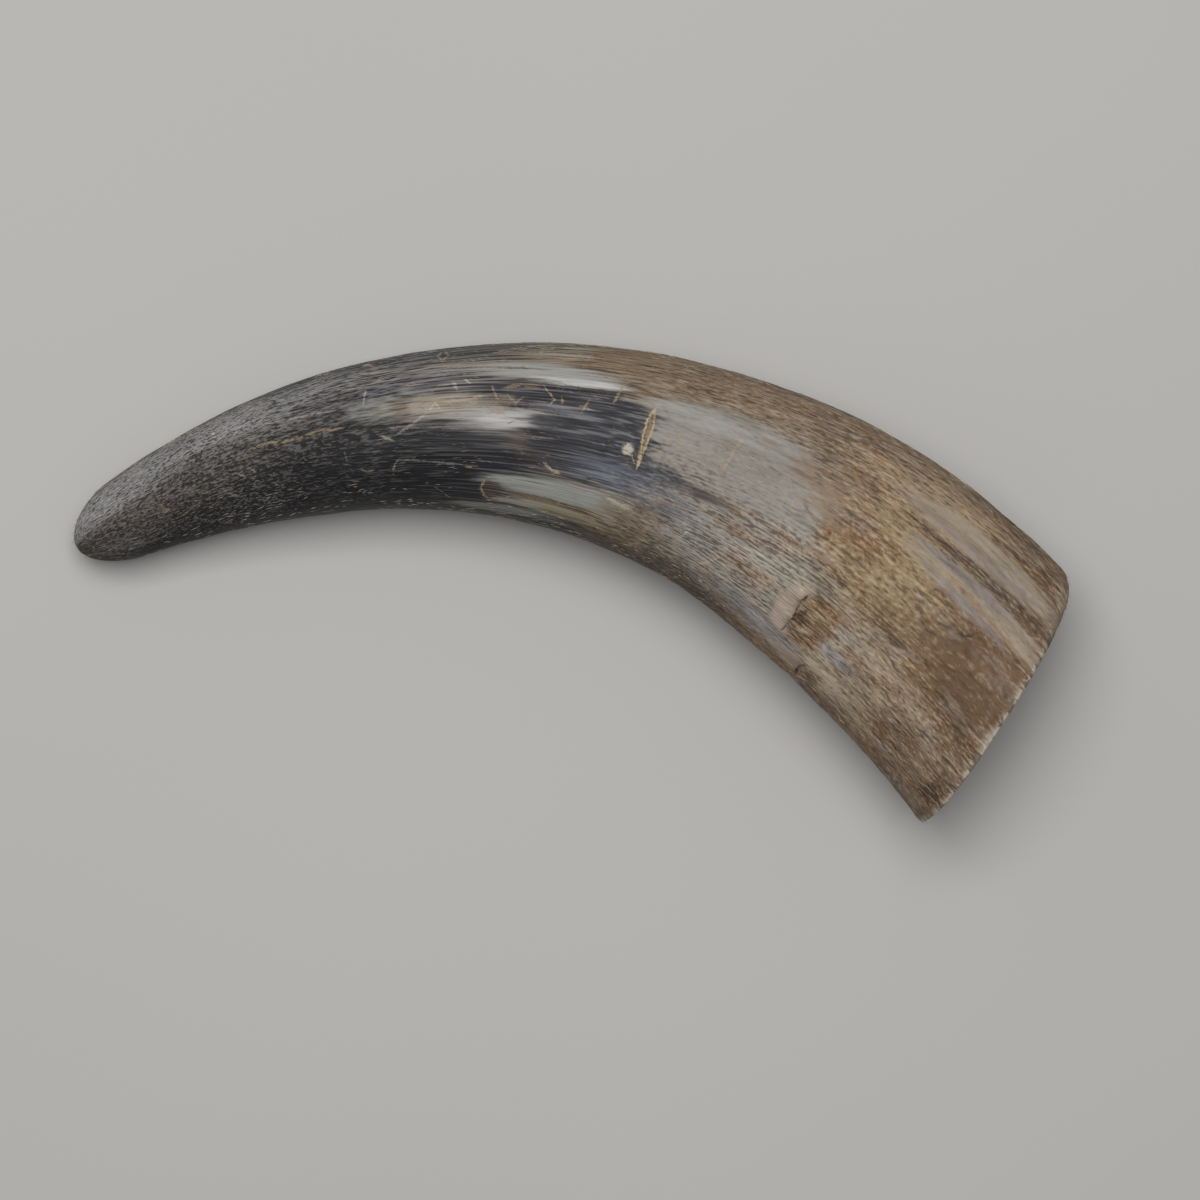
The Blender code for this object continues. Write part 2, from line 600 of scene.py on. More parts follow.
def stroke(
    places: tuple[Span, ...], width: float, colour: str, strength: float = 0.85,
    soft: float = 0.5, edge: Edge = Edge.CHIPPED, depth: float = 0.0,
) -> Marks:
    """Draws a thin line through places on the horn, with one mark for each straight piece.

    Args:
        places: Millimetres along and degrees around for each corner of the line.
        width: The line's width in millimetres.
        colour: Its colour code.
        strength: How much of the colour shows.
        soft: How soft its sides are.
        edge: How its edge runs.
        depth: Its height in millimetres, or its depth if negative.

    Returns:
        The marks.
    """
    marks = []
    for (s0, t0), (s1, t1) in zip(places, places[1:]):
        s, t, run, rise = (s0 + s1) / 2, (t0 + t1) / 2, s1 - s0, t1 - t0
        turn = math.degrees(width / (TIP_RADIUS + TAPER * s))
        if abs(rise) * width > abs(run) * turn:
            half_s, half_t, tilt = width / 2, abs(rise) / 2 * OVERLAP, {"slant": run / rise}
        else:
            half_s, half_t, tilt = abs(run) / 2 * OVERLAP, turn / 2, {"lean": rise / run}
        marks.append(Mark(
            (s - half_s, s + half_s), (t - half_t, t + half_t), colour, strength * FADED, soft,
            edge=edge, depth=depth, **tilt,
        ))
    return tuple(marks)


@cache
def mark_group(kind: str) -> bpy.types.NodeTree:
    """Builds, once for each kind of tree, the group that says how far inside a mark a place is.

    Args:
        kind: The type name of the trees that will hold it.

    Returns:
        The group, whose mask is its strength in the mark and 0 outside.
    """
    inputs = {
        "Place": "Vector", "Middle": "Vector", "Along row": "Vector", "Around row": "Vector",
        "Wear": 0.0, "Softness": 0.5, "Strength": 1.0,
    }
    graph, wires, end = new_group("Mark on horn", kind, inputs, {"Mask": "Float"})
    offset = wires["Place"] - wires["Middle"]
    x = graph.vector("DOT_PRODUCT", offset, wires["Along row"], out=1)
    y = graph.vector("DOT_PRODUCT", offset, wires["Around row"], out=1)
    out = graph.vector("LENGTH", graph.joined(x, y, wires["Wear"]), out=1)
    soft = wires["Softness"]
    mask = graph.step(out, 1.0 + soft, 1.0 - soft, 0.0, wires["Strength"])
    graph.feed(mask, end.inputs[0])
    return graph.tree


Places = dict[Edge, tuple[Wire, Wire]]


@dataclass(frozen=True)
class Wobble:
    """How the edges of marks are drawn out along the grain or broken."""

    streak_scale: Triple = (0.07, 0.9, 0.9)
    streak_reach: Triple = (26.0, 5.0, 0.0)
    torn_scale: Triple = (0.5, 0.65, 0.65)
    torn_reach: Triple = (4.0, 9.0, 0.0)
    chip_scale: Triple = (1.3, 1.5, 1.5)
    chip_reach: Triple = (0.9, 2.2, 0.0)
    clean_reach: Triple = (1.4, 3.0, 0.0)
    wear: tuple[float, float, float, float] = (0.8, 0.6, 3.4, 0.3)

    def places(self, graph: Graph, place: Wire, grain: Wire) -> Places:
        """Shifts the place of each point for each kind of edge.

        Args:
            graph: The tree to work in.
            place: Millimetres along and degrees around.
            grain: The straightened place in millimetres.

        Returns:
            The shifted places, and how worn away marks are there.
        """
        even = (0.5, 0.5, 0.5)
        streak = graph.noise(grain * self.streak_scale, 3.0, 0.6, out=1) - even
        torn = graph.noise(grain * self.torn_scale, 3.0, 0.65, out=1) - even
        chip = graph.noise(grain * self.chip_scale, 1.0, 0.6, out=1) - even
        noises = (streak, torn, chip, torn)
        reaches = (self.streak_reach, self.torn_reach, self.chip_reach, self.clean_reach)
        up = (0.0, 0.0, 1.0)
        return {
            edge: (place + noise * reach, graph.vector("DOT_PRODUCT", noise, up, out=1) * wear)
            for edge, noise, reach, wear in zip(Edge, noises, reaches, self.wear)
        }


@dataclass(frozen=True)
class Brush:
    """What lays marks in one tree: the group that places them, and the shifted places."""

    graph: Graph
    group: bpy.types.NodeTree
    places: Places

    def mask(self, mark: Mark, strength: float) -> Wire:
        """Where one mark lies.

        Args:
            mark: The mark.
            strength: The value inside it.

        Returns:
            The strength in the mark, and 0 outside it.
        """
        middle, along_row, around_row = mark.rows()
        place, wear = self.places[mark.edge]
        return self.graph.group(self.group, {
            "Place": place, "Wear": wear, "Middle": middle, "Along row": along_row,
            "Around row": around_row, "Softness": mark.soft, "Strength": strength,
        })[0]

    def painted(self, marks: Marks, colour: Wire) -> Wire:
        """Lays each coloured mark over a colour, in order.

        Args:
            marks: The marks.
            colour: The colour under them.

        Returns:
            The marked colour.
        """
        for mark in marks:
            if mark.colour:
                shown = self.mask(mark, mark.strength)
                colour = self.graph.tinted(shown, colour, paint(mark.colour))
        return colour

    def calmed(self, marks: Marks) -> Value:
        """Works out how smooth and even the horn is.

        Args:
            marks: The marks.

        Returns:
            A value from 0 where rough, or without a mark, to 1 where polished.
        """
        calm: Value = 0.0
        for mark in marks:
            if mark.calm is not None:
                calm = self.graph.mixed(self.mask(mark, 1.0), calm, mark.calm)
        return calm

    def carved(self, marks: Marks, height: Wire) -> Wire:
        """Adds the height of each carved mark.

        Args:
            marks: The marks.
            height: The height without them, in millimetres.

        Returns:
            The height with them.
        """
        for mark in marks:
            if mark.depth:
                height = height + self.mask(mark, mark.depth)
        return height


ZONES = (
    # Bare brown horn near the saw cut.
    Mark((226, 320), (-600, 600), "7a624b", soft=0.22),
    Mark((146, 270), (-90, 38), "6d5944", 0.85, soft=0.3),
    Mark((116, 216), (-20, 62), "87735c", soft=0.2),
    Mark((160, 178), (24, 60), "907c65", 0.7, soft=0.5),
    Mark((188, 232), (30, 66), "a08a70", soft=0.35),
    Mark((112, 130), (12, 44), "958a7a", 0.9, soft=0.4),
    # Grey horn of the middle.
    Mark((134, 204), (58, 152), "928a80", soft=0.25),
    Mark((184, 250), (106, 162), "a39078", soft=0.35),
    Mark((192, 226), (64, 104), "a08866", 0.9, soft=0.35),
    Mark((214, 254), (84, 114), "866c50", soft=0.3),
    Mark((142, 176), (112, 156), "796a58", soft=0.3, lean=0.35),
    Mark((118, 200), (152, 262), "52453b", soft=0.25),
    # Grey and black horn of the tip.
    Mark((-80, 115), (-600, 600), "6a6664", soft=0.10),
    Mark((34, 124), (-110, 37), "4c4b50", soft=0.25),
    Mark((-40, 84), (20, 80), "8d8a8a", soft=0.25),
    Mark((-20, 14), (20, 84), "a3a09f", 0.8, soft=0.5),
    Mark((24, 62), (62, 80), "5e5955", 0.85, soft=0.5),
    Mark((60, 92), (52, 90), "585453", 0.9, soft=0.4),
    Mark((8, 136), (80, 268), "242121", soft=0.14),
    Mark((36, 140), (132, 268), "232226", soft=0.2, calm=0.4),
    Mark((22, 66), (73, 93), "403a37", 0.85, soft=0.4),
    Mark((-6, 40), (82, 122), "4b423c", 0.8, soft=0.6),
    Mark((-30, 9), (96, 230), "4d4138", 0.8, soft=0.4, edge=Edge.TORN),
    Mark((62, 126), (90, 150), "1f1e23", soft=0.3, calm=0.4),
)

PATCHES = (
    # Speckled back of the bend and the dusty patch before the pale horn.
    Mark((72, 114), (38, 60), "7d7976", 0.9, soft=0.4),
    Mark((74, 106), (54, 68), "5e5c60", 0.8, soft=0.5),
    Mark((74, 88), (68, 84), "7f7d78", 0.9, soft=0.5, calm=0.4),
    Mark((84, 114), (70, 86), "a09688", 0.95, soft=0.4, calm=0.5),
    Mark((86, 106), (72, 80), "9a8d7e", 0.7, soft=0.5),
    Mark((85.5, 89), (73, 85), "6e5a4c", 0.6, soft=0.6, edge=Edge.TORN),
    Mark((98, 122), (80, 92), "a09d99", 0.95, soft=0.5, calm=0.6),
    Mark((106, 118), (84, 90), "b8b6b4", 0.9, soft=0.6, calm=0.6),
    Mark((96, 104), (26, 46), "6b645d", 0.6, soft=0.5),
    # Black patch under the white streak, bluish towards the gouge.
    Mark((106, 150), (61, 84), "37363b", 0.97, soft=0.2, lean=0.2),
    Mark((116, 150), (78, 108), "33343b", 0.97, soft=0.25, lean=0.25),
    Mark((130, 147), (68, 100), "37383f", 0.95, soft=0.3),
    Mark((118, 142), (96, 116), "3d3d44", 0.9, soft=0.4, lean=0.3),
    Mark((120, 138), (77, 83), "74757b", 0.85, soft=0.6, lean=0.35),
    Mark((104, 114), (72, 80), "87796c", 0.8, soft=0.4, edge=Edge.TORN),
    # White streak.
    Mark((104, 138), (46, 62), "9b9993", 0.95, soft=0.4, lean=0.18, calm=0.6),
    Mark((120, 137), (57, 63), "c6c5c2", 0.95, soft=0.55, calm=0.8),
    Mark((112, 132), (48, 56), "a9a8a4", 0.7, soft=0.6, lean=0.2, calm=0.6),
    # Pale smooth horn.
    Mark((145, 192), (58, 94), "938e86", 0.97, soft=0.2, lean=0.28, calm=0.7),
    Mark((145, 176), (60, 72), "a19e98", 0.85, soft=0.4, calm=0.75),
    Mark((150, 188), (74, 92), "928c82", 0.8, soft=0.5, lean=0.2, calm=0.5),
    Mark((128, 166), (100, 118), "62656f", 0.85, soft=0.4, lean=0.3, calm=0.2),
    Mark((146, 158), (93, 101), "45464d", 0.85, soft=0.5),
    Mark((156, 171), (96.5, 102), "2a2323", 0.95, soft=0.6, edge=Edge.CLEAN, calm=0.8),
    # Pale green-grey horn of the lower side.
    Mark((108, 146), (117, 134), "9a9b95", 0.95, soft=0.35, calm=0.7),
    Mark((112, 138), (136, 150), "a39d8f", 0.95, soft=0.35, calm=0.6),
    Mark((122, 138), (139, 149), "918460", 0.6, soft=0.5),
    Mark((98, 128), (149, 162), "8b8a86", 0.95, soft=0.4, calm=0.6),
    Mark((110, 140), (133.5, 138), "7d6d55", 0.8, soft=0.4, lean=0.1),
    Mark((138, 160), (114, 150), "7a6b58", 0.7, soft=0.4, edge=Edge.TORN),
    # Lined blue-grey horn and lilac sheen.
    Mark((156, 200), (100, 146), "928e86", 0.85, soft=0.35),
    Mark((172, 208), (137, 156), "93908f", 0.85, soft=0.35, calm=0.3),
    Mark((176, 200), (110, 124), "aca294", 0.7, soft=0.5),
    # Cream and lilac streaks by the saw cut, and the dark bands between them.
    Mark((203, 248), (45, 60), "ab9d8b", 0.9, soft=0.3, calm=0.7),
    Mark((206, 240), (54, 58.5), "8f8785", 0.6, soft=0.5, calm=0.8),
    Mark((208, 250), (66.5, 79), "a2937f", 0.9, soft=0.25, calm=0.6),
    Mark((211, 236), (67.6, 70.8), "7f7a7d", 0.7, soft=0.5, calm=0.7),
    Mark((218, 244), (76, 80.5), "8b827f", 0.7, soft=0.5, calm=0.7),
    Mark((211, 252), (60, 66), "63503e", 0.9, soft=0.35),
    Mark((228, 258), (80, 108), "6a4c2f", 0.9, soft=0.4, edge=Edge.TORN, calm=0.4),
    Mark((238, 260), (96, 118), "64492e", 0.7, soft=0.5, edge=Edge.TORN),
    Mark((231, 248), (126, 152), "6f5843", 0.8, soft=0.5, edge=Edge.TORN),
    Mark((200, 226), (112, 136), "9c9080", 0.7, soft=0.4),
    Mark((206, 222), (126, 134), "86868a", 0.75, soft=0.4),
    Mark((202, 216), (114, 122), "908c88", 0.6, soft=0.5),
    Mark((204, 226), (138, 156), "b3a48f", 0.8, soft=0.4),
    Mark((180, 206), (68, 90), "86694a", 0.7, soft=0.4, lean=0.9),
)

NICKS = (
    # Gouge across the top: tan between two light broken edges, with a dark line inside.
    Mark((144.3, 146.0), (69, 97), "8f744f", 0.95, soft=0.3, slant=0.01, depth=-0.4, edge=Edge.CHIPPED),
    *stroke(((144.9, 77), (144.8, 83), (145.1, 89)), 0.5, "33271f"),
    *stroke(((145.4, 69), (144.5, 75), (144.5, 84), (145.1, 90), (145.3, 98)), 0.55, "c2b59a", 0.95),
    *stroke(((145.5, 69), (146.1, 77), (146.1, 84), (145.5, 92), (145.3, 98)), 0.55, "c0b292", 0.95),
    *stroke(((143.3, 93), (144.3, 96)), 0.6, "bdb199"),
    Mark((140.6, 143.2), (89, 93.5), "c3bcab", 0.9, soft=0.4, edge=Edge.CHIPPED),
    # Smooth lip of a lost flake, the rough hollow behind it and the dark crack between.
    Mark((192.3, 203.5), (111.5, 141.5), "b09e90", 0.97, soft=0.16, edge=Edge.CLEAN, depth=0.25, calm=1.0),
    Mark((197.9, 210.0), (110, 129), "8d7152", 0.97, soft=0.3, edge=Edge.TORN, depth=-0.3, calm=0.0),
    Mark((198.3, 209.0), (121, 142), "866a4d", 0.97, soft=0.3, edge=Edge.TORN, depth=-0.3, calm=0.0),
    Mark((198.6, 201.6), (121, 133), "5f4737", 0.85, soft=0.4, edge=Edge.TORN, depth=-0.3),
    Mark((201.0, 204.0), (119, 124), "b59f80", 0.8, soft=0.5, edge=Edge.CHIPPED),
    Mark((202.0, 205.5), (128, 132), "b29c7c", 0.8, soft=0.5, edge=Edge.CHIPPED),
    *stroke(
        ((198.4, 113.5), (197.7, 119), (198.1, 124), (198.7, 129), (198.6, 133), (198.2, 139)),
        0.75, "231811", 0.97, edge=Edge.CHIPPED, depth=-0.5,
    ),
    *stroke(((194.8, 113), (197.0, 114)), 0.7, "c6b8aa", 0.8),
    # Second, smaller one lower down.
    Mark((199, 210), (148, 158), "a8998b", 0.9, soft=0.3, edge=Edge.CLEAN, calm=0.8),
    Mark((208.8, 216), (149, 174), "6c5643", 0.9, soft=0.35, edge=Edge.TORN),
    *stroke(((209.2, 150), (208.4, 156), (208.9, 163), (209.8, 172)), 0.9, "261b14", 0.97, depth=-0.6),
    # Dark stain near the tip.
    Mark((22, 42), (103, 121), "2c2825", 0.55, soft=0.6, edge=Edge.FRAYED),
    # Hook-shaped brown nick with a light edge.
    Mark((106.6, 111.5), (127, 144), "54443a", 0.85, soft=0.5, edge=Edge.TORN, depth=-0.35),
    *stroke(((107.2, 126), (106.3, 133), (107.1, 141), (108.5, 145), (110.6, 143)), 0.6, "a5937e", 0.9),
    # Hollow at the corner by the rim, and ragged cracks.
    Mark((255, 261), (139, 156), "5b4536", 0.8, soft=0.3, edge=Edge.TORN, depth=-0.6),
    *stroke(((231.6, 87.5), (234.2, 85.5), (235.0, 82)), 0.6, "2f2319", 0.95, depth=-0.3),
    *stroke(((204, 62.5), (214, 63.5), (222, 62)), 0.5, "4b382a", 0.8),
    *stroke(((186, 85), (190, 88), (196, 88.5)), 0.5, "6b4c30", 0.8),
    *stroke(((198, 99.5), (207, 101), (213, 102)), 0.5, "54391f", 0.8, depth=-0.15),
    *stroke(((215, 104), (221, 105)), 0.5, "54391f", 0.8),
    *stroke(((236, 75.5), (240, 76.5), (244, 78.5)), 0.5, "5d4128", 0.9),
)

SCRATCHES = (
    # Tip end.
    *stroke(((15.8, 29), (16.6, 37), (17.8, 48)), 0.8, "b7a79f", 0.7),
    *stroke(((30.6, 36), (29.6, 43)), 0.7, "a9a6a2", 0.7),
    *stroke(((42.0, 48.5), (43.0, 51.5)), 0.8, "d3d2d0", 0.9),
    *stroke(((41.0, 108.5), (43.2, 115)), 0.7, "8d8e7e", 0.85),
    *stroke(((39.4, 105), (41.0, 105.5)), 0.7, "9a968e", 0.8),
    *stroke(((23.5, 103), (26, 104)), 0.9, "9a8068", 0.7),
    *stroke(((45, 95), (46.6, 99)), 0.5, "a8a8a4", 0.8),
    *stroke(((48, 93), (49.6, 98)), 0.4, "94928e", 0.7),
    *stroke(((52, 67), (55, 64), (57, 66)), 0.4, "b2afac", 0.7),
    *stroke(((58, 65), (63, 67.5), (70, 69.5)), 0.5, "aaa7a3", 0.8),
    *stroke(((50, 81.5), (54.5, 80.5), (57.5, 83.5)), 0.4, "9c8664", 0.8),
    *stroke(((57, 83.8), (63, 84), (66, 82.7), (72, 84.2)), 0.5, "a58a6a", 0.9),
    *stroke(((72.2, 99), (72.4, 106)), 0.35, "8f8f8f", 0.7),
    # Scribbles and threads on the back of the bend.
    *stroke(((79.4, 59.5), (78.6, 69.5)), 0.45, "bab8b5", 0.9),
    *stroke(((80.2, 22), (80.8, 27), (81.4, 34)), 1.4, "a58f80", 0.7),
    *stroke(((80.2, 28.5), (81.2, 32)), 0.9, "3a2d26", 0.9),
    *stroke(((78, 40), (82, 41), (85, 45)), 0.5, "a4927f", 0.8),
    *stroke(((96.6, 24), (96.0, 31), (96.8, 37)), 0.6, "b3a592", 0.9),
    *stroke(((97.6, 24), (98.3, 31), (97.2, 37)), 0.6, "b3a592", 0.8),
    *stroke(((97.2, 26), (97.2, 34)), 0.6, "4f443b", 0.9),
    *stroke(((86.5, 45), (95, 44.5), (104, 47.5), (112, 48.5)), 0.7, "a08f78", 0.8),
    *stroke(((98, 49), (106, 50), (118, 52)), 0.5, "43403e", 0.8),
    *stroke(((104, 42), (112, 44), (120, 43)), 0.5, "a5937c", 0.6),
    *stroke(((89, 59.8), (93, 60)), 0.6, "b3a18c", 0.85),
    *stroke(((99.6, 62), (100.2, 66.5)), 0.9, "bdb6ab", 0.9),
    *stroke(((102.2, 60), (103.2, 62.5)), 0.8, "bdb9b2", 0.9),
    *stroke(((96, 64), (99, 63.2)), 0.5, "b3a693", 0.8),
    *stroke(((94, 78.5), (99, 76), (104, 74), (106.4, 72.6)), 0.5, "ab9a84", 0.9),
    *stroke(((94.0, 80.5), (95.2, 76), (96.4, 80)), 0.4, "c4bbaa", 0.8),
    *stroke(((86.2, 92), (90.3, 87.2), (94, 80.8)), 0.5, "aaa7a1", 0.85),
    *stroke(((83.5, 88.8), (94, 90), (102, 91.6)), 0.4, "85756a", 0.8),
    *stroke(((81.6, 92.4), (84.3, 95.6)), 0.5, "b0a28c", 0.9),
    *stroke(((83.6, 118.8), (84.2, 113.5), (85.4, 109.6)), 0.5, "9c927c", 0.9),
    *stroke(((75.6, 115.6), (77, 117.6), (78.8, 116.8)), 0.5, "a99b7f", 0.85),
    *stroke(((86, 110.2), (94, 112.8), (101, 114.6)), 0.4, "96958f", 0.8),
    # Nicks in the black patch.
    *stroke(((108.4, 66), (109.0, 70), (109.8, 75)), 0.6, "a8977f", 0.85),
    *stroke(((112, 72), (114, 77), (116, 72)), 0.5, "a8987f", 0.7),
    *stroke(((111.6, 67), (115, 64.6), (119, 65.2)), 0.9, "a08c76", 0.9),
    Mark((108, 112), (79, 84), "9a887a", 0.8, soft=0.5, edge=Edge.TORN),
    *stroke(((120, 64.8), (121.6, 69.5), (122.7, 73.4), (121.8, 76.8)), 0.5, "b0a28c", 0.9),
    *stroke(((124.3, 71), (124.7, 74.6)), 0.6, "ab9a78", 0.85),
    *stroke(((130.5, 71.5), (129.4, 78.6)), 0.6, "ab9778", 0.85),
    *stroke(((129.0, 75.5), (131.6, 76.5)), 0.5, "a9967c", 0.8),
    *stroke(((137.4, 57), (136.8, 63), (136.2, 69.6)), 0.6, "ab9a7c", 0.85),
    *stroke(((122.4, 108.2), (124.4, 111), (126.4, 112.2)), 0.9, "b6a887", 0.9),
    *stroke(((123.6, 108.6), (125.4, 110.8)), 0.6, "26221f", 0.95),
    *stroke(((124, 62.4), (130, 64), (134, 62.8)), 0.4, "4f3f33", 0.8),
    # Cream chip and brown thread of the lower side.
    *stroke(((140.0, 119.8), (143.2, 121.8), (146.8, 121.4)), 1.2, "b9b19c", 0.9),
    *stroke(((112.5, 134.8), (124, 133), (131, 135.4), (137, 137)), 0.8, "5e4a35", 0.85),
    *stroke(((152.6, 139), (154.6, 143), (157.4, 141), (155.6, 138.4)), 0.7, "a79f91", 0.7),
    # Fine marks on the pale smooth horn.
    *stroke(((152.9, 80.5), (153.4, 88)), 0.5, "a08c68", 0.8),
    *stroke(((155.4, 82), (156.8, 79)), 0.5, "a08c68", 0.7),
    *stroke(((166.0, 70), (165.4, 77), (165.0, 86)), 0.5, "b3a283", 0.85),
    *stroke(((171.6, 66), (172.0, 74)), 0.5, "a08c68", 0.7),
    *stroke(((182.6, 84), (183.2, 89)), 0.5, "ab9978", 0.7),
    *stroke(((163.3, 118.2), (161.8, 126)), 0.5, "b7b6b2", 0.9),
    *stroke(((162, 108), (165.6, 119), (166.6, 131)), 0.4, "aaa9a7", 0.7),
    *stroke(((167.4, 107), (168.6, 115)), 0.5, "ab9f88", 0.7),
    *stroke(((169.0, 136.5), (171.4, 131), (173.4, 125)), 1.1, "c2b497", 0.9),
    *stroke(((165, 112), (158, 122)), 0.4, "a1a0a0", 0.6),
    # Chips, threads and stains of the bare brown horn.
    *stroke(((186.2, 44.5), (188.2, 49)), 0.6, "c6b9a6", 0.85),
    *stroke(((185, 53.6), (187.6, 55)), 0.5, "362a20", 0.9),
    Mark((185, 195), (31, 40), "625a52", 0.8, soft=0.4, edge=Edge.TORN),
    *stroke(((199, 50.5), (203, 52)), 0.6, "95663c", 0.8),
    *stroke(((220, 73), (232, 75), (246, 77.5)), 0.8, "a3804f", 0.8),
    *stroke(((199, 119), (205, 118.5), (212, 120)), 0.5, "c2b49c", 0.7),
    *stroke(((243, 29), (244.4, 38)), 0.9, "b8ad9c", 0.8),
    Mark((243, 258), (160, 172), "8a8378", 0.8, soft=0.4, edge=Edge.TORN),
)

MARKS = ZONES + PATCHES + NICKS + SCRATCHES


def marks_between(low: float, high: float) -> Marks:
    """The marks that reach into a stretch of the horn, in millimetres along it."""
    low, high = low - FRAY_REACH, high + FRAY_REACH
    return tuple(m for m in MARKS if m.along[1] > low and m.along[0] < high)


@dataclass(frozen=True)
class Relief:
    """The horn's uneven surface, in millimetres."""

    swell: float = 0.9
    flute: float = 0.35
    flake: float = 0.25
    rough_flake: float = 0.6
    ledge: float = 0.25
    rough_span: Span = (120.0, 215.0)
    ledge_span: Span = (0.52, 0.57)
    swells: Mottle = Mottle((0.045, 0.045, 0.045), detail=2.0, rough=0.5)
    flutes: Mottle = Mottle((0.02, 0.42, 0.42), rough=0.5)
    flakes: Mottle = Mottle((0.12, 0.7, 0.7), detail=4.0, rough=0.65)
    ledges: Mottle = Mottle((0.09, 0.5, 0.5), (7.0, 3.0, 1.0), 4.0)

    def height(
        self, graph: Graph, group: bpy.types.NodeTree, place: Wire, grain: Wire
    ) -> tuple[Wire, Wire]:
        """Works out how far each point stands out of the smooth horn.

        Args:
            graph: The geometry tree to work in.
            group: The group that places marks.
            place: Millimetres along and degrees around.
            grain: The straightened place in millimetres.

        Returns:
            The height in millimetres, and how smooth and even the surface is from 0 to 1.
        """
        rough = graph.step(graph.parts(place)[0], *self.rough_span)
        swell = self.swells.about_zero(graph, grain) * self.swell
        flute = self.flutes.about_zero(graph, grain) * self.flute
        flake = self.flakes.about_zero(graph, grain) * (rough * self.rough_flake + self.flake)
        broken = self.ledges.over(graph, grain)
        ledge = graph.step(broken, *self.ledge_span) * -self.ledge * rough
        brush = Brush(graph, group, Wobble().places(graph, place, grain))
        return brush.carved(MARKS, swell + flute + flake + ledge), brush.calmed(MARKS)


@dataclass(frozen=True)
class Sheet:
    """A flat grid with what it takes to bend it into a band of the horn."""

    graph: Graph
    row: Wire
    radius: Wire
    centre: Wire
    skin: dict[str, Value]
    hollow: dict[str, Value]
    section: bpy.types.NodeTree
    cut: bpy.types.NodeTree

    def on(self, side: dict[str, Value], share: Wire) -> list[Wire]:
        """The point, the half width and the way along at a share of the length, on one side."""
        return self.graph.group(self.section, {**side, "Share": share})

    def at_cut(self, side: dict[str, Value]) -> Wire:
        """The share of the length at which the skin or the hollow meets the saw cut."""
        return self.graph.group(self.cut, {**side, "Cut centre": self.centre})[0]


@dataclass(frozen=True)
class Band:
    """Where a band of the horn lies, and what is kept on it."""

    point: Wire
    half_width: Wire
    lengthwise: Wire
    travelled: Wire
    fade: Value
    number: Value


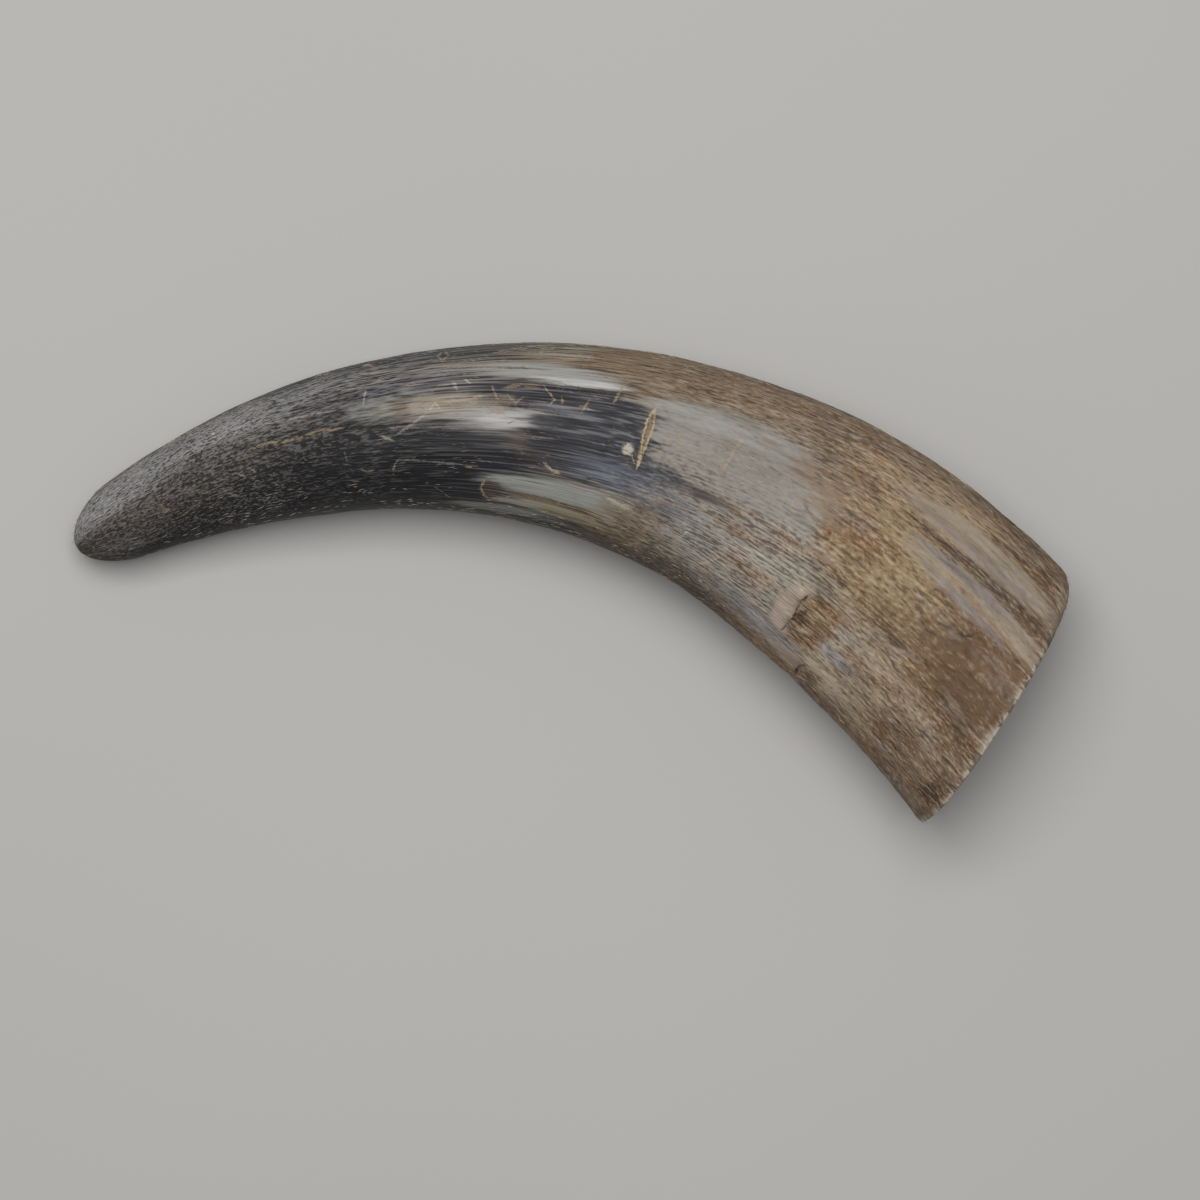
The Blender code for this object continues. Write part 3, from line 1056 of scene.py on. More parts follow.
@dataclass
class HornBody:
    """The horn itself, one closed surface from the tip over the saw cut into the hollow."""

    form: HornForm = field(default_factory=HornForm)
    relief: Relief = field(default_factory=Relief)
    columns: int = 269
    skin_rows: int = 318
    rim_rows: int = 21
    hollow_rows: int = 32
    crowding: float = 0.3
    tip_crowding: float = 0.05
    eased_share: float = 0.4
    wall_relief: float = 0.2
    hollow_relief: float = 0.7
    mouth_share: float = 0.1
    grain_radius: float = 26.0
    grain_power: float = 0.45
    cut_steps: int = 4
    cut_pace: float = 0.95
    solid_depth: float = 1.0e6
    weld: float = 1.0e-6

    def section_group(self) -> bpy.types.NodeTree:
        """Builds the group that finds a point on the horn, or on its hollow, by the middle line.

        Returns:
            The group.
        """
        form = self.form
        inputs = {
            "Middle line": "Geometry", "Share": 0.0, "Turn": 0.0, "Wall": 0.0,
            "Hollow depth": self.solid_depth,
        }
        outputs = {"Point": "Vector", "Half width": "Float", "Lengthwise": "Vector"}
        graph, wires, end = new_group("Point on horn", "GeometryNodeTree", inputs, outputs)
        share, turn = wires["Share"], wires["Turn"]
        sample = graph.node(
            "GeometryNodeSampleCurve",
            {
                "Curves": wires["Middle line"], "Factor": share / form.curve_end,
                "Value": graph.kept(SIZE),
            },
            mode="FACTOR", data_type="FLOAT_VECTOR", use_all_curves=True,
        )
        half_width, half_height, middle = graph.parts(graph.out(sample, "Value"))
        tangent_x, tangent_y, _ = graph.parts(graph.out(sample, "Tangent"))
        across = graph.joined(tangent_y * -1.0, tangent_x)
        gone = graph.math("MINIMUM", share * (form.length / form.tip_rounding), 1.0)
        left = 1.0 - graph.math("MAXIMUM", gone, 0.0)
        rounding = graph.math("SQRT", graph.math("MAXIMUM", 1.0 - left * left, 0.0))
        deep = graph.math("DIVIDE", (1.0 - share) * form.length, wires["Hollow depth"], clamp=True)
        fill = rounding * (1.0 - deep) ** form.hollow_point
        cosine, sine = graph.math("COSINE", turn), graph.math("SINE", turn)
        side, up = (
            graph.math("SIGN", value) * graph.math("ABSOLUTE", value) ** (2.0 / form.squareness)
            for value in (cosine, sine)
        )
        swell = graph.math("COSINE", turn - form.shoulder_at) * form.shoulder
        swell = (swell * graph.math("MAXIMUM", sine, 0.0) + 1.0) * fill
        wide = side * swell * (half_width - wires["Wall"])
        high = up * swell * (half_height - wires["Wall"])
        point = graph.out(sample, "Position") + across * wide + graph.joined(0.0, 0.0, middle + high)
        graph.feed(point, end.inputs["Point"])
        graph.feed(half_width, end.inputs["Half width"])
        graph.feed(graph.joined(tangent_x, tangent_y), end.inputs["Lengthwise"])
        return graph.tree

    def cut_group(self, section: bpy.types.NodeTree) -> bpy.types.NodeTree:
        """Builds the group that finds where a line along the horn meets the saw cut.

        Args:
            section: The group that finds a point on the horn.

        Returns:
            The group.
        """
        inputs = {
            "Middle line": "Geometry", "Turn": 0.0, "Wall": 0.0, "Hollow depth": self.solid_depth,
            "Cut centre": "Vector",
        }
        graph, wires, end = new_group("Share at saw cut", "GeometryNodeTree", inputs, {"Share": "Float"})
        centre = wires.pop("Cut centre")
        share: Value = 1.0
        facing = tuple(self.form.cut_facing())
        for _ in range(self.cut_steps):
            point = graph.group(section, {**wires, "Share": share})[0]
            gap = graph.vector("DOT_PRODUCT", centre - point, facing, out=1)
            share = gap * (1.0 / (self.cut_pace * self.form.length)) + share
        graph.feed(share, end.inputs["Share"])
        return graph.tree

    def tree(self) -> bpy.types.NodeTree:
        """Builds the tree that skins the middle line.

        Returns:
            The tree, with its sizes as named inputs.
        """
        inputs = {
            "Geometry": "Geometry", "Columns": self.columns, "Skin rows": self.skin_rows,
            "Rim rows": self.rim_rows, "Hollow rows": self.hollow_rows, "Wall": self.form.wall,
            "Hollow depth": self.form.hollow_depth, "Relief": 1.0, "Cut centre": "Vector",
        }
        outputs = {"Geometry": "Geometry"}
        graph, wires, end = new_group("Buffalo horn", "GeometryNodeTree", inputs, outputs)
        section = self.section_group()
        cut = self.cut_group(section)
        marks = mark_group("GeometryNodeTree")
        line = graph.changed("MeshToCurve", wires["Geometry"], into="Mesh")
        strips = [
            self.strip(graph, wires, line, kind, section, cut, marks)
            for kind in (Strip.SKIN, Strip.SAWN, Strip.HOLLOW)
        ]
        joined = graph.node("GeometryNodeJoinGeometry")
        for strip in reversed(strips):
            graph.feed(strip, joined.inputs[0])
        shape = graph.changed("MergeByDistance", graph.out(joined), {"Distance": self.weld})
        raised = graph.kept(RELIEF, "FLOAT") * wires["Relief"] * MM
        normal = graph.out(graph.node("GeometryNodeInputNormal"))
        shape = graph.changed("SetPosition", shape, {"Offset": normal * raised})
        x, y, z = graph.parts(graph.spot())
        rested = graph.joined(x, y, graph.math("MAXIMUM", z, 0.0))
        shape = graph.changed("SetPosition", shape, {"Position": rested})
        shape = graph.changed("RealizeInstances", graph.changed("SetShadeSmooth", shape))
        band = graph.kept(STRIP, "FLOAT")
        skin = HornSkin(marks=marks_between(TIP_END, math.inf))
        tip = HornSkin("weathered horn tip", marks_between(-math.inf, TIP_END))
        finishes = {None: skin, Strip.TIP: tip, Strip.SAWN: SawnFace(), Strip.HOLLOW: HollowWall()}
        for kind, finish in finishes.items():
            values: dict[str, object] = {"Material": finish.material()}
            if kind:
                values["Selection"] = graph.is_strip(band, kind)
            shape = graph.changed("SetMaterial", shape, values)
        graph.feed(shape, end.inputs[0])
        return graph.tree

    def strip(
        self, graph: Graph, wires: dict[str, Wire], line: Wire, kind: Strip,
        section: bpy.types.NodeTree, cut: bpy.types.NodeTree, marks: bpy.types.NodeTree,
    ) -> Wire:
        """Bends a flat grid into one of the horn's three bands.

        Args:
            graph: The horn's tree.
            wires: The tree's inputs.
            line: The middle line as a curve.
            kind: Which band.
            section: The group that finds a point on the horn.
            cut: The group that finds the saw cut.
            marks: The group that places marks.

        Returns:
            The band, with its places stored on it.
        """
        rows, laid = {
            Strip.SKIN: ("Skin rows", self.skin_band), Strip.SAWN: ("Rim rows", self.sawn_band),
            Strip.HOLLOW: ("Hollow rows", self.hollow_band),
        }[kind]
        sizes = {"Size X": 1.0, "Size Y": 1.0, "Vertices X": wires[rows], "Vertices Y": wires["Columns"]}
        shape = graph.out(graph.node("GeometryNodeMeshGrid", sizes))
        flat = graph.parts(graph.spot())
        row, column = flat[0] + 0.5, flat[1] + 0.5
        bunch = graph.math("SINE", column * math.tau) * (self.crowding / math.tau)
        turn = (column + bunch) * math.tau - math.pi / 2
        cosine, sine = graph.math("COSINE", turn), graph.math("SINE", turn)
        back = graph.math("MAXIMUM", cosine, 0.0)
        radius = back * back * self.form.back_easing + self.form.rim_easing
        skin = {"Middle line": line, "Turn": turn, "Wall": 0.0, "Hollow depth": self.solid_depth}
        hollow = {**skin, "Wall": wires["Wall"], "Hollow depth": wires["Hollow depth"]}
        band = laid(Sheet(graph, row, radius, wires["Cut centre"], skin, hollow, section, cut))
        spread = band.half_width * (1.0 / self.form.base_half_width)
        spread = spread ** self.grain_power * self.grain_radius
        grain = graph.joined(band.travelled, cosine * spread, sine * spread)
        place = graph.joined(band.travelled, turn * (180.0 / math.pi))
        height, calm = self.relief.height(graph, marks, place, grain)
        for name, value, what, domain in (
            (RELIEF, height * band.fade, "FLOAT", "POINT"),
            (CALM, calm, "FLOAT", "POINT"),
            (GRAIN, grain, "FLOAT_VECTOR", "POINT"),
            (LENGTHWISE, band.lengthwise, "FLOAT_VECTOR", "POINT"),
            (STRIP, band.number, "FLOAT", "FACE"),
            (SKIN_MAP, place, "FLOAT2", "CORNER"),
            (BAKE_MAP, graph.joined(self.sheet_row(row, kind), column), "FLOAT2", "CORNER"),
        ):
            shape = graph.changed(
                "StoreNamedAttribute", shape, {"Name": name, "Value": value},
                data_type=what, domain=domain,
            )
        shape = graph.changed("SetPosition", shape, {"Position": band.point})
        return graph.changed("FlipFaces", shape, into="Mesh")

    def skin_band(self, sheet: Sheet) -> Band:
        """Lays the outer skin up to where its edge begins to round over.

        Args:
            sheet: The flat grid.

        Returns:
            The band, with its rows crowded towards the tip.
        """
        row, k = sheet.row, self.tip_crowding
        root = sheet.graph.math("SQRT", row * row + k * k)
        base = (root - k) * (1.0 / (math.sqrt(1 + k * k) - k))
        start = sheet.at_cut(sheet.skin) - sheet.radius * (1.0 / self.form.length)
        share = base + (start - 1.0) * base ** 3.0
        travelled = share * (self.form.length / MM)
        number = sheet.graph.math("LESS_THAN", travelled, TIP_END) * float(Strip.TIP.value)
        return Band(*sheet.on(sheet.skin, share), travelled, 1.0, number)

    def sawn_band(self, sheet: Sheet) -> Band:
        """Rounds the skin's edge over and crosses the sawn wall to the mouth of the hollow.

        Args:
            sheet: The flat grid.

        Returns:
            The band. The rounded edge counts as skin.
        """
        graph, row, radius = sheet.graph, sheet.row, sheet.radius
        end, mouth = sheet.at_cut(sheet.skin), sheet.at_cut(sheet.hollow)
        bent = graph.math("MINIMUM", row * (math.pi / 2 / self.eased_share), math.pi / 2)
        share = end - radius * (1.0 - graph.math("SINE", bent)) * (1.0 / self.form.length)
        eased, half_width, lengthwise = sheet.on(sheet.skin, share)
        inward = graph.vector("NORMALIZE", sheet.centre - sheet.on(sheet.skin, end)[0])
        eased = eased + inward * (radius * (1.0 - graph.math("COSINE", bent)))
        edge = sheet.on(sheet.hollow, mouth)[0]
        inside = graph.math("DIVIDE", row - self.eased_share, 1.0 - self.eased_share, clamp=True)
        travelled = share * (self.form.length / MM) + inside * (self.form.wall / MM)
        fade = 1.0 - graph.step(row, 0.0, self.eased_share) * (1.0 - self.wall_relief)
        number = graph.math("GREATER_THAN", row, self.eased_share)
        point = graph.mixed(inside, eased, edge)
        return Band(point, half_width, lengthwise, travelled, fade, number)

    def hollow_band(self, sheet: Sheet) -> Band:
        """Lays the wall of the hollow from its mouth to its deep end.

        Args:
            sheet: The flat grid.

        Returns:
            The band.
        """
        graph, row = sheet.graph, sheet.row
        deep = graph.math("SINE", row * (math.pi / 2))
        share = 1.0 - deep * sheet.hollow["Hollow depth"] * (1.0 / self.form.length)
        share = share + (sheet.at_cut(sheet.hollow) - 1.0) * (1.0 - deep)
        rise = self.hollow_relief - self.wall_relief
        fade = graph.step(row, 0.0, self.mouth_share) * rise + self.wall_relief
        travelled = share * (self.form.length / MM)
        number = float(Strip.HOLLOW.value)
        return Band(*sheet.on(sheet.hollow, share), travelled, fade, number)

    def sheet_row(self, row: Wire, kind: Strip) -> Wire:
        """Where each band's rows lie on the flat sheet that the finish is spread on.

        Args:
            row: The share of the band's rows.
            kind: Which band.

        Returns:
            The share of the sheet.
        """
        first, last = {
            Strip.SKIN: (0.002, 0.84), Strip.SAWN: (0.845, 0.90), Strip.HOLLOW: (0.905, 0.998),
        }[kind]
        return row * (last - first) + first

    def line_object(self, shift: Vector) -> bpy.types.Object:
        """Makes the middle line as an object, with the horn's sizes along it.

        Args:
            shift: How far the tip's end is moved from the frame's origin.

        Returns:
            The line.
        """
        points, sizes = self.form.middle_line()
        points = points + np.array(shift)
        mesh = bpy.data.meshes.new("middle_line")
        edges = [(k, k + 1) for k in range(len(points) - 1)]
        mesh.from_pydata([tuple(p) for p in points], edges, [])
        stored = mesh.attributes.new(SIZE, "FLOAT_VECTOR", "POINT")
        stored.data.foreach_set("vector", sizes.astype(np.float32).ravel())
        return bpy.data.objects.new("middle_line", mesh)

    def cut_centre(self, shift: Vector) -> Vector:
        """The middle of the saw cut.

        Args:
            shift: How far the tip's end is moved from the frame's origin.

        Returns:
            Its place.
        """
        points, sizes = self.form.middle_line()
        steps = np.linspace(0.0, self.form.curve_end, self.form.curve_steps)
        place = [float(np.interp(1.0, steps, values)) for values in (*points.T[:2], sizes[:, 2])]
        return Vector(place) + shift

    def grown(
        self, name: str, tree: bpy.types.NodeTree, shift: Vector, relief: float
    ) -> bpy.types.Object:
        """Runs the tree on the middle line.

        Args:
            name: The new object's name.
            tree: The horn's tree.
            shift: How far the tip's end is moved from the frame's origin.
            relief: How much of the uneven surface is raised.

        Returns:
            The horn as a plain mesh.
        """
        given = {"Relief": relief, "Cut centre": tuple(self.cut_centre(shift))}
        return grown_from(self.line_object(shift), tree, given, name)

    def shift_to_cad(self, tree: bpy.types.NodeTree) -> Vector:
        """How far the smooth horn has to move to lie where the CAD horn does.

        Args:
            tree: The horn's tree.

        Returns:
            The shift, which is level.
        """
        low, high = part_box("horn")
        smooth = self.grown("smooth_horn", tree, Vector(), 0.0)
        places = np.empty(len(smooth.data.vertices) * 3)
        smooth.data.vertices.foreach_get("co", places)
        places = places.reshape(-1, 3)
        middle = (places.min(axis=0) + places.max(axis=0)) / 2
        bpy.data.objects.remove(smooth)
        return Vector(((low[0] + high[0]) / 2 - middle[0], (low[1] + high[1]) / 2 - middle[1], 0.0))

    def build(self) -> bpy.types.Object:
        """Makes the horn where the CAD horn lies, in its place.

        Returns:
            The horn.
        """
        tree = self.tree()
        horn = self.grown("buffalo_horn", tree, self.shift_to_cad(tree), 1.0)
        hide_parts("horn")
        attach(horn, "root")
        return horn


@dataclass
class LiftedFibres:
    """Short fibres that stand up from the weathered skin, laid by rule over the horn."""

    per_square_metre: float = 480000.0
    clear_height: float = 0.005
    length: Span = (0.0010, 0.0036)
    half_width: Span = (0.00003, 0.00008)
    stray: float = 0.45
    lift: Span = (-0.02, 0.10)
    bow: float = 0.10
    closing: float = 3.9
    sides: int = 3
    rings: int = 3
    seed: int = 7
    tufts: Mottle = Mottle((0.10, 0.22, 0.22))
    tuft_span: Span = (0.42, 0.66)
    lone_share: float = 0.1
    calming: float = 0.85

    def fibre(self, graph: Graph) -> Wire:
        """Makes one bowed fibre of length 1, thick in the middle and pointed at both ends.

        Args:
            graph: The fibres' tree.

        Returns:
            The fibre.
        """
        tube = graph.node("GeometryNodeMeshCylinder", {
            "Vertices": self.sides, "Side Segments": self.rings + 1, "Radius": 1.0, "Depth": 1.0,
        }, fill_type="NGON")
        x, y, z = graph.parts(graph.spot())
        shut = graph.math("MAXIMUM", 1.0 - z * z * self.closing, 0.0)
        bowed = graph.joined(x * shut + shut * self.bow, y * shut, z)
        return graph.changed("SetPosition", graph.out(tube), {"Position": bowed})

    def tree(self) -> bpy.types.NodeTree:
        """Builds the tree that spreads the fibres over the skin.

        Returns:
            The tree, with its sizes as named inputs.
        """
        inputs = {
            "Geometry": "Geometry", "Fibres per square metre": self.per_square_metre,
            "Stray": self.stray, "Seed": self.seed,
        }
        outputs = {"Geometry": "Geometry"}
        graph, wires, end = new_group("Lifted fibres", "GeometryNodeTree", inputs, outputs)
        band, lengthwise = graph.kept(STRIP, "FLOAT"), graph.kept(LENGTHWISE)
        clear = graph.math("GREATER_THAN", graph.parts(graph.spot())[2], self.clear_height)
        sawn, inside = (graph.is_strip(band, kind) for kind in (Strip.SAWN, Strip.HOLLOW))
        tuft = graph.step(self.tufts.over(graph, graph.kept(GRAIN)), *self.tuft_span)
        crowd = tuft * (1.0 - self.lone_share) + self.lone_share
        crowd = crowd * (1.0 - graph.kept(CALM, "FLOAT") * self.calming)
        spread = graph.node("GeometryNodeDistributePointsOnFaces", {
            "Mesh": wires["Geometry"], "Selection": clear * (1.0 - sawn) * (1.0 - inside),
            "Seed": wires["Seed"], "Density": wires["Fibres per square metre"] * crowd,
        }, distribute_method="RANDOM")
        normal = graph.out(spread, "Normal")
        side = graph.vector("CROSS_PRODUCT", normal, lengthwise)
        stray = self.chosen(graph, (-1.0, 1.0), 1)
        way = lengthwise + side * (stray * stray * stray * wires["Stray"] * 2.0)
        way = way + normal * self.chosen(graph, self.lift, 2)
        turned = graph.node(
            "FunctionNodeAxesToRotation", {0: way, 1: normal}, primary_axis="Z", secondary_axis="X"
        )
        thick = self.chosen(graph, self.half_width, 3)
        placed = graph.node("GeometryNodeInstanceOnPoints", {
            "Points": graph.out(spread), "Instance": self.fibre(graph), "Rotation": graph.out(turned),
            "Scale": graph.joined(thick, thick, self.chosen(graph, self.length, 4)),
        })
        shape = graph.changed("RealizeInstances", graph.out(placed))
        shape = graph.changed("SetMaterial", shape, {"Material": FibreFinish().material()})
        graph.feed(shape, end.inputs[0])
        return graph.tree

    def chosen(self, graph: Graph, span: Span, seed: int) -> Wire:
        """A random number for each fibre, between the two ends of a span.

        Args:
            graph: The fibres' tree.
            span: The span.
            seed: The seed of the draw.

        Returns:
            The number.
        """
        node = graph.node("FunctionNodeRandomValue", data_type="FLOAT")
        for name, value in zip(("Min", "Max"), span):
            next(s for s in node.inputs if s.name == name and s.type == "VALUE").default_value = value
        next(s for s in node.inputs if s.name == "Seed").default_value = seed
        return Wire(graph, next(s for s in node.outputs if s.type == "VALUE" and s.enabled))

    def build(self, horn: bpy.types.Object) -> bpy.types.Object:
        """Lays the fibres over the horn.

        Args:
            horn: The finished horn.

        Returns:
            The fibres as one piece.
        """
        bed = bpy.data.objects.new("fibre_bed", horn.data.copy())
        given = {"Stray": self.stray, "Seed": self.seed}
        fibres = grown_from(bed, self.tree(), given, "lifted_fibres")
        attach(fibres, "root")
        return fibres


class Finish(ABC):
    """A material with a name and a rule for its look."""

    name: str

    def material(self) -> bpy.types.Material:
        """Builds the material.

        Returns:
            The material.
        """
        material = bpy.data.materials.new(self.name)
        material.use_nodes = True
        graph = Graph(material.node_tree)
        surface = graph.tree.nodes["Principled BSDF"]
        for label, value in self.look(graph).items():
            graph.feed(value, surface.inputs[label])
        return material

    @abstractmethod
    def look(self, graph: Graph) -> dict[str, Value]:
        """Works out each of the surface's values that the finish sets, by name.

        Args:
            graph: The material's tree.

        Returns:
            The values.
        """


@dataclass(frozen=True)
class FibreFinish(Finish):
    """Dry pale fibres, each a little different."""

    name: str = "lifted fibres"
    grey: str = "8d8882"
    cream: str = "b3a78f"
    tan: str = "8b7557"
    tone_size: float = 420.0
    tone_shift: float = 60.0
    warm_span: Span = (110.0, 190.0)
    cream_span: Span = (0.45, 0.62)
    streak_size: float = 3000.0
    streak_height: float = 0.02

    def look(self, graph: Graph) -> dict[str, Value]:
        """Grey fibres towards the tip, tan ones towards the base, and cream ones among them.

        Args:
            graph: The material's tree.

        Returns:
            The surface's values, by name.
        """
        spot = graph.spot()
        along = graph.parts(graph.kept(GRAIN))[0]
        tone = graph.noise(spot * self.tone_size, 2.0, 0.7)
        warm = graph.step(along + tone * self.tone_shift, *self.warm_span)
        colour = graph.tinted(warm, paint(self.grey), paint(self.tan))
        colour = graph.tinted(graph.step(tone, *self.cream_span), colour, paint(self.cream))
        streak = graph.noise(spot * self.streak_size, 1.0, 0.5)
        return {
            "Base Color": colour,
            "Roughness": 0.6 + tone * 0.25,
            "Normal": graph.bumped(streak, 0.5, self.streak_height * MM),
        }


@dataclass(frozen=True)
class HornSkin(Finish):
    """Weathered outer horn: grey and black towards the tip, bare brown towards the base.

    Spans along the horn are in millimetres from the end of the tip, and spans around it are in
    degrees from the back of the bend, with the top at 90.
    """

    name: str = "weathered horn"
    marks: Marks = ()
    dark_brown: str = "6b5640"
    brown: str = "947c60"
    dusty: str = "94877b"
    rust: str = "7c5836"
    # Dust with painted highlight on the high points of the fine relief, and dirt with painted shade in its
    # low points.
    dust_grey: str = "a09c98"
    dust_cream: str = "baab93"
    dirt_black: str = "1f1d1d"
    dirt_brown: str = "3d2d20"
    rim_grey: str = "858171"
    rim_chip: str = "bdb3a1"
    broads: Mottle = Mottle((0.03, 0.4, 0.4))
    stains: Mottle = Mottle((0.05, 0.22, 0.22), (4.0, 8.0, 3.0), 4.0)
    blots: Mottle = Mottle((0.09, 0.3, 0.3), (1.0, 5.0, 7.0), rough=0.65)
    ticks: Mottle = Mottle((3.5, 1.1, 1.1), (3.0, 1.0, 6.0), 1.0)
    grits: Mottle = Mottle((6.0, 1.3, 1.3), detail=1.0)
    fissure_scale: Triple = (0.03, 0.30, 0.30)
    fissure_shift: Triple = (8.0, 2.0, 5.0)
    # Spans along the horn over which each thing sets in.
    base_span: Span = (112.0, 150.0)
    bare_span: Span = (135.0, 172.0)
    pale_span: Span = (152.0, 196.0)
    fine_span: Span = (30.0, 150.0)
    short_span: Span = (40.0, 150.0)
    lined_from: Span = (140.0, 165.0)
    lined_to: Span = (222.0, 196.0)
    # Spans of noise, or of height, over which each thing shows.
    brown_span: Span = (0.35, 0.65)
    rust_span: Span = (0.50, 0.66)
    dusty_span: Span = (0.50, 0.64)
    hatch_span: Span = (0.45, 0.62)
    fissure_span: Span = (0.46, 0.60)
    light_span: Span = (0.02, 0.30)
    dark_span: Span = (-0.02, -0.30)
    # Values at the tip, each with what is added towards the base.
    fineness: Span = (1.75, -0.15)
    shortness: Span = (0.20, -0.10)
    speckle: Span = (1.25, -0.45)
    light: Span = (0.26, 0.10)
    dark: Span = (0.75, -0.25)
    # Other strengths and heights.
    rust_strength: float = 0.6
    dusty_strength: float = 0.45
    groove_height: float = 0.8
    tick_height: float = 1.1
    grit_height: float = 1.3
    hatch_height: float = 0.2
    hatch_width: float = 0.05
    hatch_rows: tuple[Span, Span] = ((0.24, 0.18), (-0.42, 0.70))
    hatch_shift: float = 3.0
    fissure_depth: float = 0.4
    fissure_width: float = 0.03
    line_height: float = 0.16
    line_gap: float = 1.95
    line_wander: float = 9.0
    lined_middle: float = 122.0
    lined_reach: Span = (42.0, 22.0)
    calming: float = 0.8
    # How much painted light and shade the fine relief and the raised relief lay on the colour.
    relief_shade: float = 0.8
    hill_shade: float = 0.5
    shine: float = 0.35
    bump: float = 0.16
    # The edge along the saw cut: where it lies on the flat sheet, and how strong it is.
    rim_span: Span = (0.840, 0.849)
    rim_wander: float = 0.012
    rim_strength: float = 0.35
    chip_span: Span = (0.50, 0.53)
    chip_strength: float = 0.85
    back_fading: float = 0.85
    # Painted shade of the inner side, near the tip and farther on: a span around, a span along, a
    # strength.
    near_grime: tuple[Span, Span, float] = ((75.0, 112.0), (112.0, 88.0), 0.5)
    far_grime: tuple[Span, Span, float] = ((136.0, 152.0), (196.0, 176.0), 0.45)
    under_span: Span = (262.0, 205.0)
    ring_middle: float = 66.0
    ring_reach: Span = (18.0, 4.0)
    ring_strength: float = 0.3

    def thread(self, graph: Graph, place: Wire, detail: float, width: float) -> Wire:
        """Thin winding lines, 1 on each line and 0 between them."""
        off = graph.math("ABSOLUTE", graph.noise(place, detail, 0.6) - 0.5)
        return graph.step(off, width, 0.0)

    def varied(self, share: Wire, value: Span) -> Wire:
        """A value at the tip, with a share of what is added to it towards the base."""
        return share * value[1] + value[0]

    def rimmed(
        self, graph: Graph, colour: Wire, around: Wire, blot: Wire, ragged: Wire
    ) -> Wire:
        """Lays a thin grey edge with pale chips along the saw cut, faint at the back of the bend.

        Args:
            graph: The material's tree.
            colour: The colour without the edge.
            around: Degrees around the horn.
            blot: Noise that makes the edge uneven.
            ragged: Noise that scatters the chips.

        Returns:
            The colour with it.
        """
        sheet = graph.parts(graph.mapped(BAKE_MAP))[0]
        back = graph.math("MAXIMUM", graph.math("COSINE", around * (math.pi / 180.0)), 0.0)
        rim = graph.step(sheet + blot * self.rim_wander, *self.rim_span)
        rim = rim * (1.0 - back * self.back_fading)
        colour = graph.tinted(rim * self.rim_strength, colour, paint(self.rim_grey))
        chip = rim * graph.step(ragged, *self.chip_span)
        return graph.tinted(chip * self.chip_strength, colour, paint(self.rim_chip))

    def grime(self, graph: Graph, around: Wire, drawn: Wire) -> Wire:
        """Painted shade on the inner side of the bend, most near the tip, and a darker band round the tip.

        Args:
            graph: The material's tree.
            around: Degrees around the horn.
            drawn: Millimetres along the horn, drawn out along the grain.

        Returns:
            The number of halvings of the colour's light.
        """
        near, far = (
            graph.step(around, *turns) * graph.step(drawn, *reach) * strength
            for turns, reach, strength in (self.near_grime, self.far_grime)
        )
        from_ring = graph.math("ABSOLUTE", drawn - self.ring_middle)
        ring = graph.step(from_ring, *self.ring_reach) * self.ring_strength
        return (near + far) * graph.step(around, *self.under_span) + ring

    def look(self, graph: Graph) -> dict[str, Value]:
        """Marks over mottled brown, then dirt and painted shade in the low places and dust and painted
        highlight on the high ones.

        Args:
            graph: The material's tree.

        Returns:
            The surface's values, by name.
        """
        place, grain = graph.mapped(SKIN_MAP), graph.kept(GRAIN)
        hills, calm = graph.kept(RELIEF, "FLOAT"), graph.kept(CALM, "FLOAT")
        along, around, _ = graph.parts(place)
        places = Wobble().places(graph, place, grain)
        brush = Brush(graph, mark_group("ShaderNodeTree"), places)
        drawn = graph.parts(places[Edge.FRAYED][0])[0]
        broad, stain, blot = (m.over(graph, grain) for m in (self.broads, self.stains, self.blots))
        base = graph.step(drawn, *self.base_span)
        keen = 1.0 - calm * self.calming
        brown = graph.step(broad, *self.brown_span)
        colour = graph.tinted(brown, paint(self.dark_brown), paint(self.brown))
        colour = brush.painted(self.marks, colour)
        bare = graph.step(drawn, *self.bare_span)
        rust = graph.step(stain, *self.rust_span) * bare * keen * self.rust_strength
        colour = graph.tinted(rust, colour, paint(self.rust))
        dusty = graph.step(blot, *self.dusty_span) * bare * self.dusty_strength
        colour = graph.tinted(dusty, colour, paint(self.dusty))
        # Grooves along the grain, short ticks, grit, and threads that cross at a slant.
        fine = self.varied(graph.step(along, *self.fine_span), self.fineness)
        short = self.varied(graph.step(along, *self.short_span), self.shortness)
        sheared = grain * graph.joined(short, fine, fine)
        groove = graph.noise(sheared, 1.0, 0.5) - 0.5
        tick, grit = (m.about_zero(graph, sheared) for m in (self.ticks, self.grits))
        arc = around * graph.vector("LENGTH", grain * (0.0, 1.0, 1.0), out=1) * (math.pi / 180.0)
        slanted = (along * by_along + arc * by_arc for by_along, by_arc in self.hatch_rows)
        hatch = self.thread(graph, graph.joined(*slanted, self.hatch_shift), 1.0, self.hatch_width)
        hatch = hatch * graph.step(stain, *self.hatch_span)
